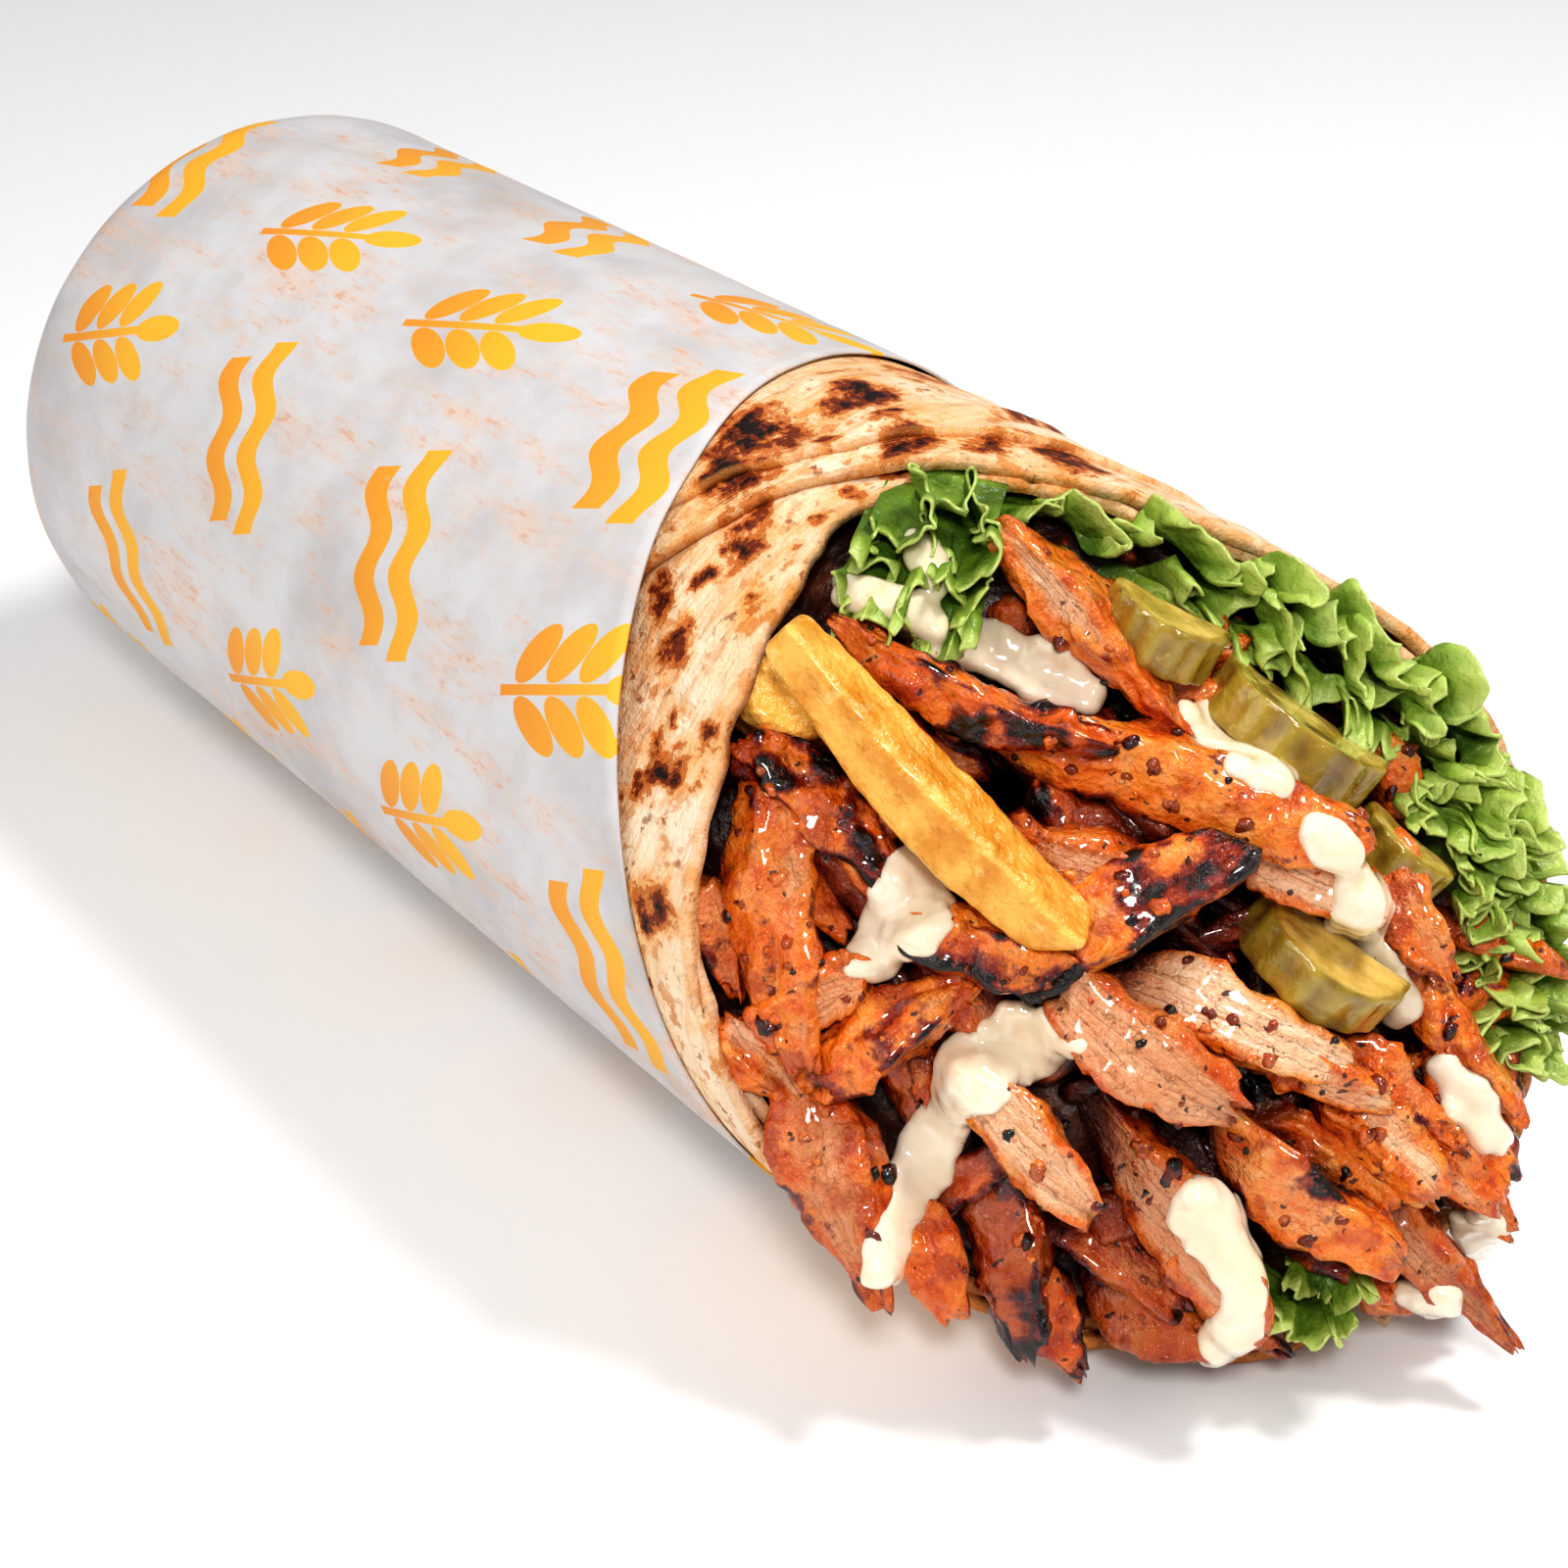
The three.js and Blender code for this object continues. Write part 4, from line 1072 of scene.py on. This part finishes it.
def fryMaterial():
    material, tree, shader = newMaterial("friedPotato")
    place = objectPlace(tree)
    # red: painted highlight along the edges and the cut end; green: painted light on the short fry, which
    # lies in shade
    crisp, pale = tintParts(tree, "crisp")[:2]
    crust = plus(tree, crisp, times(tree, patchMask(tree, place, 500.0, 0.5, 0.75), 0.3))
    colour = paint(tree, (0.7, 0.28, 0.022),
                   (patchMask(tree, place, 260.0, 0.36, 0.66), 1, (0.9, 0.5, 0.1)),
                   (pale, 1, (0.95, 0.52, 0.1)),
                   (between(tree, crust, 0.3, 1.0), 1, (0.95, 0.6, 0.17)),
                   (speckMask(tree, place, 520.0, 0.3, 0.3), 0.3, (0.95, 0.72, 0.32)))
    setShader(tree, shader, colour, {"Roughness": 0.3, "Coat Weight": 0.4, "Coat Roughness": 0.14})
    addBump(tree, shader, noise(tree, place, 480.0, 4.0), 0.85, 0.0013)
    return material


def makeFry(name, spec, material):
    width = friedPotato["width"]
    piece = addMesh(bpy.ops.mesh.primitive_cube_add, name, size=1)
    piece.scale = (spec["length"] * mm, width * mm, width * mm)
    bpy.ops.object.transform_apply(scale=True)
    editWhole(bpy.ops.mesh.bevel, offset=friedPotato["bevel"] * mm, segments=friedPotato["bevelSteps"])
    remesh(piece, friedPotato["voxel"], 0.5, friedPotato["softening"])
    local = meshPoints(piece) / mm
    end = local[:, 0] / (spec["length"] / 2)
    narrow = 1.06 - 0.14 * end ** 2 - 0.2 * smooth(-end, -0.2, 1)
    bothSides = np.minimum(np.abs(local[:, 1]), np.abs(local[:, 2])) / (width / 2)
    wobble = 0.5 * manyLumps(local, 7, 2) + 0.22 * lumps(local, 1.6, 4) + 0.12 * lumps(local, 0.8, 6)
    sag = 0.35 * smooth(1 - bothSides, 0.2, 1) * smooth(1 - np.abs(end), 0.02, 0.2)
    grow = narrow + (wobble - sag) / width
    # the free end is cut on a slant
    slant = (0.55 * local[:, 1] + 0.35 * local[:, 2]) * smooth(end, 0.2, 1)
    shaped = np.stack([local[:, 0] + slant, local[:, 1] * grow + 0.9 * end ** 2, local[:, 2] * grow], -1)
    setPoints(piece, placeOnFace(shaped, spec["place"], spec["turn"], 0, spec["roll"]))
    # lighter along the edges and at the cut end: painted highlight; the pale channel is painted light
    crisp = smooth(bothSides, 0.45, 1) * 0.75 + smooth(np.abs(end), 0.86, 1) * 0.6 * bothSides
    setTint(piece, "crisp", crisp, spec["pale"], 0.0)
    finishPiece(piece, material, [spec["node"]])


potato = fryMaterial()
for fryName, frySpec in friedPotato["sticks"].items():
    makeFry(fryName, frySpec, potato)


# pickle slices

pickledCucumber = {
    "thickness": 4.6, "ribs": 15, "sides": 72, "voxel": 0.28, "softening": 6,
    "slices": {
        "pickleTop": {"node": "pickle_1", "place": (3, 23.5, 11.5), "radius": 5.5, "turn": -28, "roll": 118},
        "pickleBig": {"node": "pickle_2", "place": (14.5, 15, 9.5), "radius": 8.5, "turn": -36, "roll": 110},
        "pickleFar": {"node": "pickle_3", "place": (24, 4.5, 5.5), "radius": 5, "turn": -42, "roll": 115},
        "pickleFront": {"node": "pickle_4", "place": (16.5, -4.5, 10), "radius": 7.5, "turn": -37,
                        "roll": 125},
    },
}


def pickleMaterial():
    material, tree, shader = newMaterial("pickledCucumber")
    place = objectPlace(tree)
    rind, ribs = tintParts(tree, "rind")[:2]
    cloud = noise(tree, place, 320.0, 5.0)
    mottle = between(tree, cloud, 0.35, 0.65)
    flesh = blendColour(tree, mottle, (0.5, 0.335, 0.055), (0.74, 0.53, 0.15))
    skin = blendColour(tree, mottle, (0.22, 0.13, 0.015), (0.42, 0.265, 0.036))
    colour = paint(tree, flesh,
                   (rind, 1, skin),
                   (times(tree, ribs, rind), 0.35, (0.5, 0.4, 0.06)),
                   (speckMask(tree, place, 420.0, 0.22, 0.35), 0.3, (0.72, 0.62, 0.2)))
    setShader(tree, shader, colour, {"Roughness": 0.16, "Coat Weight": 0.9, "Coat Roughness": 0.04})
    addBump(tree, shader, cloud, 0.7, 0.0011)
    return material


def makePickle(name, spec, material):
    radius, thickness = spec["radius"], pickledCucumber["thickness"]
    piece = addMesh(bpy.ops.mesh.primitive_cylinder_add, name, vertices=pickledCucumber["sides"],
                    radius=radius * mm, depth=thickness * mm)
    # half a round
    editWhole(bpy.ops.mesh.bisect, plane_co=(0, 0, 0), plane_no=(0, 1, 0), use_fill=True, clear_inner=True)
    remesh(piece, pickledCucumber["voxel"], 0.5, pickledCucumber["softening"])
    local = meshPoints(piece) / mm
    far = np.hypot(local[:, 0], local[:, 1])
    turn = np.arctan2(local[:, 1], local[:, 0])
    rind = smooth(far, radius - 0.75, radius - 0.35)
    ribs = np.cos(turn * pickledCucumber["ribs"])
    grow = 1 + (0.13 * ribs * rind + 0.3 * lumps(local, 3)) / radius
    dish = 1 - 0.1 * smooth(radius - far, 1, 4)
    thick = local[:, 2] * dish + 0.2 * lumps(local, 4, 2)
    shaped = np.stack([local[:, 0] * grow, local[:, 1] * grow - radius / 2, thick], -1)
    setPoints(piece, placeOnFace(shaped, spec["place"], spec["turn"], 0, spec["roll"]))
    setTint(piece, "rind", rind, ribs * 0.5 + 0.5, 0.0)
    finishPiece(piece, material, [spec["node"]])


cucumber = pickleMaterial()
for pickleName, pickleSpec in pickledCucumber["slices"].items():
    makePickle(pickleName, pickleSpec, cucumber)


# curly lettuce: two leaves along the bread's rim, and two laid on the heap

curlyLettuce = {
    "thickness": 0.28, "rows": 14, "round": 33,
    "top": {"from": 92, "to": 150, "bends": (22, -15, -45), "reach": 6.5, "ruffle": 2.5, "period": 6.2,
            "depth": 8, "inset": 5.0, "spread": 2.1, "ahead": 1.0, "loose": 30, "columns": 400, "seed": 3},
    "far": {"from": 145, "to": 211, "bends": (40, 15, -12, -38), "reach": 6.3, "ruffle": 2.6, "period": 6.0,
            "depth": 8, "inset": 6.5, "spread": 1.9, "ahead": -0.4, "loose": 30, "columns": 420, "seed": 8},
    "front": {"out": 8.5, "fall": 0.45, "middle": 28, "wander": 0.8, "lean": 45, "bends": (30, 5, -25, -45),
              "reach": 7.0, "ruffle": 2.4, "period": 6.0, "depth": 4, "loose": 25, "columns": 300, "seed": 5,
              "lines": [[(-23, 31), (-19.5, 29.3), (-15, 27.8), (-11, 26.5)],
                        [(-22.5, 33.5), (-18.5, 31.8), (-14.5, 30.2), (-10.5, 29)],
                        [(-20.5, 35.8), (-17, 34.3), (-13.2, 32.8), (-9.8, 31.7)],
                        [(-17, 37), (-14, 36), (-11.5, 35), (-9.2, 34.2)]]},
    "bottom": {"out": 1.8, "fall": 0.0, "middle": -31, "wander": 0.6, "lean": 25, "bends": (30, 40),
               "reach": 5.5, "ruffle": 1.3, "period": 4.8, "depth": 2, "loose": 20, "columns": 180, "seed": 6,
               "lines": [[(12.5, -29.5), (13.5, -32), (17, -33.5), (20.5, -32.5)],
                         [(15, -29), (16.5, -30.5), (19.5, -30.5), (22, -29.5)]]},
}


def lettuceMaterial():
    material, tree, shader = newMaterial("curlyLettuce")
    cloud = noise(tree, objectPlace(tree), 300.0, 5.0)
    mottle = between(tree, cloud, 0.35, 0.65)
    # red holds the paler tip with the painted light on the ruffles' crests, green the paler edge
    tip, edge = tintParts(tree, "leaf")[:2]
    deepGreen = blendColour(tree, mottle, (0.075, 0.145, 0.018), (0.18, 0.3, 0.035))
    tipGreen = blendColour(tree, mottle, (0.29, 0.42, 0.05), (0.48, 0.6, 0.13))
    colour = paint(tree, deepGreen, (tip, 1, tipGreen), (edge, 0.65, (0.62, 0.7, 0.25)))
    setShader(tree, shader, colour, {"Roughness": 0.33})
    addBump(tree, shader, cloud, 0.9, 0.0016)
    return material


# ruffles upon ruffles towards the free edge: how far each point moves out of the leaf, along it and back
def ruffles(distance, free, period, height, seed):
    rng = np.random.default_rng(seed)
    row = rowOf(distance, seed * 3.7)
    sideways, along, curl = np.zeros(len(distance)), np.zeros(len(distance)), np.zeros(len(distance))
    for scale, tall, begins in ((0.22, 0.26, 0.35), (0.46, 0.6, 0.15), (1.0, 1.0, 0.0)):
        wave = 2 * math.pi * distance / (period * scale) + rng.uniform(0, 6)
        wave = wave + 2.2 * lumps(row, period * scale * 1.4, int(rng.integers(20)))
        uneven = 0.85 + 0.5 * lumps(row, period * scale, int(rng.integers(20)))
        grown = smooth(free, begins, 1) * height * tall * uneven
        sideways += grown * np.sin(wave)
        along += grown * 0.42 * np.sin(2 * wave)
        curl += grown * free * (0.25 + 0.35 * np.sin(wave + 1.2))
    crest = np.sin(wave) * 0.5 + 0.5
    return sideways, along, curl, crest


# the leaf's frilled outline, in mm in or out: lobes with small teeth on them
def frill(distance, seed):
    row = rowOf(distance, seed)
    lobes = np.abs(np.sin(math.pi * distance / 3.0 + 2.2 * lumps(row, 4))) ** 0.8
    teeth = 1 - np.abs(np.sin(math.pi * distance / 1.2 + 2.2 * lumps(row, 2, 3)))
    return 2.0 * lobes + 1.2 * teeth - 1.9 + 0.8 * lumps(row, 6, 5)


# one frilled layer of leaf: it rises from its foot line, then bends over with its edge ruffled
def leafLayer(path, spec, bendDegrees, seed):
    piece, u, v = addSheet("leafLayer", spec["columns"], curlyLettuce["rows"])
    v = 1 - (1 - v) ** 1.6
    foot, rise, flare, along, distance = path(u)
    ends = smooth(u, 0, 0.09) * smooth(1 - u, 0, 0.09)
    reach = spec["reach"]
    past = lerp(-spec["depth"], reach * (0.5 + 0.5 * ends), v)
    past = past + frill(distance, seed) * smooth(v, 0.7, 1) * (0.4 + 0.6 * ends)
    free = smooth(past, -0.5, reach * 0.8)
    sideways, slide, curl, crest = ruffles(distance, free, spec["period"], spec["ruffle"], seed)
    bend = np.radians(bendDegrees + spec["loose"] * lumps(rowOf(distance, seed * 2.3), 6, 7))
    bend = np.where(np.abs(bend) < 0.06, 0.06, bend)
    turned = bend * np.maximum(past, 0) / reach
    arc = reach / bend
    ahead = np.minimum(past, 0) + arc * np.sin(turned) - sideways * np.sin(turned) - curl * np.cos(turned)
    outward = arc * (1 - np.cos(turned)) + sideways * np.cos(turned) - curl * np.sin(turned) * np.sign(bend)
    points = foot + ahead[:, None] * rise + outward[:, None] * flare + slide[:, None] * along
    points = points + 0.35 * lumps(points, 1.6)[:, None] * rise
    points = points + (0.45 * lumps(points, 1.3, 4) * free)[:, None] * flare
    setPoints(piece, points)
    # paler towards the free edge; lighter on the ruffles' crests and darker in the folds between: painted
    # light and painted shade
    glow = smooth(v, 0.72, 1) * 0.7 + 0.4 * crest * smooth(v, 0.45, 0.8)
    setTint(piece, "leaf", np.clip(glow + 0.3 * lumps(points, 3), 0, 1), smooth(v, 0.86, 1), 0.0)
    applyModifier(piece, "SOLIDIFY", thickness=curlyLettuce["thickness"] * mm, offset=0.0)
    return piece


# foot lines along the inside of the bread's rim
def rimPath(spec, layer):
    def path(u):
        degrees = lerp(spec["from"] + 1.5 * layer, spec["to"] - 1.2 * layer, u)
        angle = np.radians(degrees)
        distance = angle * curlyLettuce["round"]
        row = rowOf(distance, layer * 4.7)
        inwards = spec["inset"] + spec["spread"] * layer + 1.0 * lumps(row, 5)
        foot = rollPoint(breadRimAt(degrees) + spec["ahead"] + 1.8 * lumps(row, 5, 3), inwards, degrees)
        zero = np.zeros(len(u))
        rise = np.stack([zero + 1, zero, zero], -1)
        flare = np.stack([zero, -np.cos(angle), np.sin(angle)], -1)
        along = np.stack([zero, np.sin(angle), np.cos(angle)], -1)
        return foot, rise, flare, along, distance
    return path


# foot lines laid on the heap, through points across and up its face
def heapPath(spec, line):
    marks = np.array(line, float)
    length = runLength(marks)
    step = 1.5

    def at(place, k):
        return np.interp(place, length, marks[:, k])

    def path(u):
        place = u * length[-1]
        row = rowOf(place, line[0][0], line[0][1])
        across, up = (sum(at(place + j * step, k) for j in (-1, 0, 1)) / 3 for k in (0, 1))
        across = across + spec["wander"] * lumps(row, 5)
        up = up + spec["wander"] * lumps(row, 5, 3)
        aheadAcross, aheadUp = (at(place + step, k) - at(place - step, k) for k in (0, 1))
        size = np.hypot(aheadAcross, aheadUp)
        along = (aheadAcross / size)[:, None] * faceAcross + (aheadUp / size)[:, None] * faceUp
        flare = (-aheadUp / size)[:, None] * faceAcross + (aheadAcross / size)[:, None] * faceUp
        out = spec["out"] - spec["fall"] * (up - spec["middle"])
        lean = math.radians(spec["lean"])
        rise = math.cos(lean) * faceOut - math.sin(lean) * flare
        outside = -math.cos(lean) * flare - math.sin(lean) * faceOut
        return onFace(across, up, out), rise, outside, along, place
    return path


def makeLeaf(name, material):
    spec = curlyLettuce[name]
    layers = []
    for k, bend in enumerate(spec["bends"]):
        path = heapPath(spec, spec["lines"][k]) if "lines" in spec else rimPath(spec, k)
        shorter = dict(spec, reach=spec["reach"] * (1.08 - 0.07 * k))
        layers.append(leafLayer(path, shorter, bend, spec["seed"] + 10 * k))
    leaf = joinPieces(layers, "lettuce" + name.title())
    finishPiece(leaf, material, ["lettuce_" + name])
    return leaf


greens = lettuceMaterial()
leaves = {leafName: makeLeaf(leafName, greens) for leafName in ("top", "far", "front", "bottom")}


# white sauce, laid on the chicken and lettuce where it shows from the open end

whiteSauce = {
    "voxel": 0.3, "softening": 20, "spacing": 0.5, "dropSize": (1.0, 1.4), "sink": 0.08, "seed": 9,
    # runs of drops: across, up, half width
    "runs": [
        [(-23, 28.5, 1.8), (-19.5, 26.5, 2.8), (-15, 24.5, 3.2), (-10.5, 22.5, 3.4), (-6, 20.5, 3.0),
         (-2.5, 18.5, 2.0)],
        [(-14, 6.5, 2.6), (-16.5, 3.5, 4.2), (-18, 0.5, 4.6), (-21, -3.5, 3.4)],
        [(-5, -10.5, 3.4), (-9, -10.5, 4.6), (-12.5, -13, 4.2), (-15, -17.5, 3.6), (-17, -22.5, 3.6),
         (-19.5, -27, 3), (-20, -30, 2.4)],
        [(6, -23, 3), (8, -26.5, 4.2), (10.5, -30.5, 3.6), (9.5, -35.5, 3), (9, -39, 2.2)],
        [(5, 17, 3), (9, 15, 3.6), (13, 12, 2.8)],
        [(15.5, 7, 2.4), (18.5, 4.5, 3.4), (20.5, 0, 3.4), (22.5, -4, 3), (25, -8.5, 2.4)],
        [(28.5, -13, 2.4), (31, -16.5, 3.2), (33, -19.5, 2)],
        [(32, -27, 2.6), (34.5, -29.5, 2.2)],
        [(26, -33, 2), (29, -34, 2.2)],
    ],
    "leafRuns": [
        [(-23, 27.6, 1.8), (-20.5, 26.8, 2.6), (-18, 26, 2.4), (-15.5, 24.6, 1.8)],
        [(-17, 31, 1.4), (-16, 29.5, 1.9), (-15.5, 28, 1.4)],
    ],
}


def sauceMaterial():
    material, tree, shader = newMaterial("whiteSauce")
    place = objectPlace(tree)
    colour = paint(tree, (0.86, 0.73, 0.53),
                   (patchMask(tree, place, 160.0, 0.35, 0.7), 1, (0.92, 0.83, 0.68)),
                   (patchMask(tree, place, 300.0, 0.6, 0.74), 0.4, (0.82, 0.5, 0.2)),  # oil
                   (speckMask(tree, place, 520.0, 0.12, 0.12), 0.6, (0.35, 0.14, 0.04)))
    setShader(tree, shader, colour, {
        "Roughness": 0.12, "Subsurface Weight": 0.2, "Subsurface Radius": (0.003, 0.0025, 0.0018),
        "Subsurface Scale": 0.6, "Coat Weight": 1.0, "Coat Roughness": 0.03})
    addBump(tree, shader, noise(tree, place, 260.0, 2.0), 0.35, 0.0014)
    return material


def makeSauce(spec, overHeap, overLeaf):
    rng = np.random.default_rng(spec["seed"])
    drop = addMesh(bpy.ops.mesh.primitive_ico_sphere_add, "dropTemplate", subdivisions=2, radius=1)
    unit = meshPoints(drop)
    faces = np.array([p.vertices[:] for p in drop.data.polygons])
    points, polygons = [], []
    laid = [(overHeap, run) for run in spec["runs"]] + [(overLeaf, run) for run in spec["leafRuns"]]
    for relief, run in laid:
        path = np.array(run, float)
        length = runLength(path[:, :2])
        for place in np.linspace(0, length[-1], int(length[-1] / spec["spacing"]) + 2):
            across, up, width = (np.interp(place, length, path[:, k]) for k in range(3))
            width = width * (0.72 + 0.6 * lumps([[place, across, up]], 3.5)[0])
            for k in range(4 + int(width * 3)):
                way, far = rng.uniform(0, 2 * math.pi), width * math.sqrt(rng.uniform(0, 1)) * 0.72
                size = rng.uniform(*spec["dropSize"]) * (1.2 - 0.6 * far / max(width, 0.1))
                u, v = across + far * math.cos(way), up + far * math.sin(way)
                polygons.append(faces + len(points) * len(unit))
                points.append(unit * size + onFace(u, v, heightAt(relief, u, v) - spec["sink"] * size))
    mesh = bpy.data.meshes.new("whiteSauce")
    mesh.from_pydata(inMetres(np.concatenate(points)).tolist(), [], np.concatenate(polygons).tolist())
    sauce = bpy.data.objects.new("whiteSauce", mesh)
    scene.collection.objects.link(sauce)
    bpy.data.objects.remove(drop)
    remesh(sauce, spec["voxel"], 0.6, spec["softening"])
    finishPiece(sauce, sauceMaterial(), [])


leafTree = surfaceTree(chickenKinds + [core, leaves["front"]])
makeSauce(whiteSauce, bridged(heights), blurred(bridged(heapHeights(leafTree)), 2) - 0.4)


# floor, light and camera

studio = {
    "floorSize": 6, "floorGrey": 0.92, "sky": 0.31,
    # soft lamps: across, up and out of the face in mm, size in m, power
    "lamps": {
        "key": {"place": (230, 480, 260), "size": 0.11, "power": 1.55},
        "front": {"place": (-20, 130, 500), "size": 0.09, "power": 0.85},
        "side": {"place": (-420, 120, 300), "size": 0.45, "power": 0.6},
    },
    "cameraPlace": (269.16, -144.40, 183.04), "lens": 63.0, "sensor": 36.0,
}


def makeFloor(spec):
    floor = addMesh(bpy.ops.mesh.primitive_plane_add, "paleFloor", size=spec["floorSize"])
    material, tree, shader = newMaterial("paleFloor")
    shader.inputs["Base Color"].default_value = asColour([spec["floorGrey"]] * 3)
    shader.inputs["Roughness"].default_value = 0.9
    floor.data.materials.append(material)


def makeLight(spec):
    world = bpy.data.worlds.new("studio")
    world.use_nodes = True
    sky = world.node_tree.nodes["Background"]
    sky.inputs["Color"].default_value = (1, 1, 1, 1)
    sky.inputs["Strength"].default_value = spec["sky"]
    scene.world = world
    target = Vector(inMetres(faceCentre))
    for name, lampSpec in spec["lamps"].items():
        place = Vector(inMetres(onFace(*lampSpec["place"])))
        bpy.ops.object.light_add(type="AREA", location=place)
        lamp = bpy.context.object
        lamp.name = name
        lamp.data.size = lampSpec["size"]
        lamp.data.energy = lampSpec["power"]
        lamp.rotation_euler = (target - place).to_track_quat("-Z", "Y").to_euler()


def makeCamera(spec):
    bpy.ops.object.camera_add()
    camera = bpy.context.object
    camera.name = "photoCamera"
    camera.data.sensor_width = spec["sensor"]
    camera.data.lens = spec["lens"]
    camera.data.clip_start = 0.01
    spin = Matrix((faceAcross, faceUp, faceOut)).transposed().to_4x4()
    camera.matrix_world = Matrix.Translation(Vector(inMetres(np.array(spec["cameraPlace"])))) @ spin
    scene.camera = camera


makeFloor(studio)
makeLight(studio)
makeCamera(studio)
scene.view_settings.view_transform = "Standard"
scene.view_settings.look = "High Contrast"
print("floor, light and camera set")
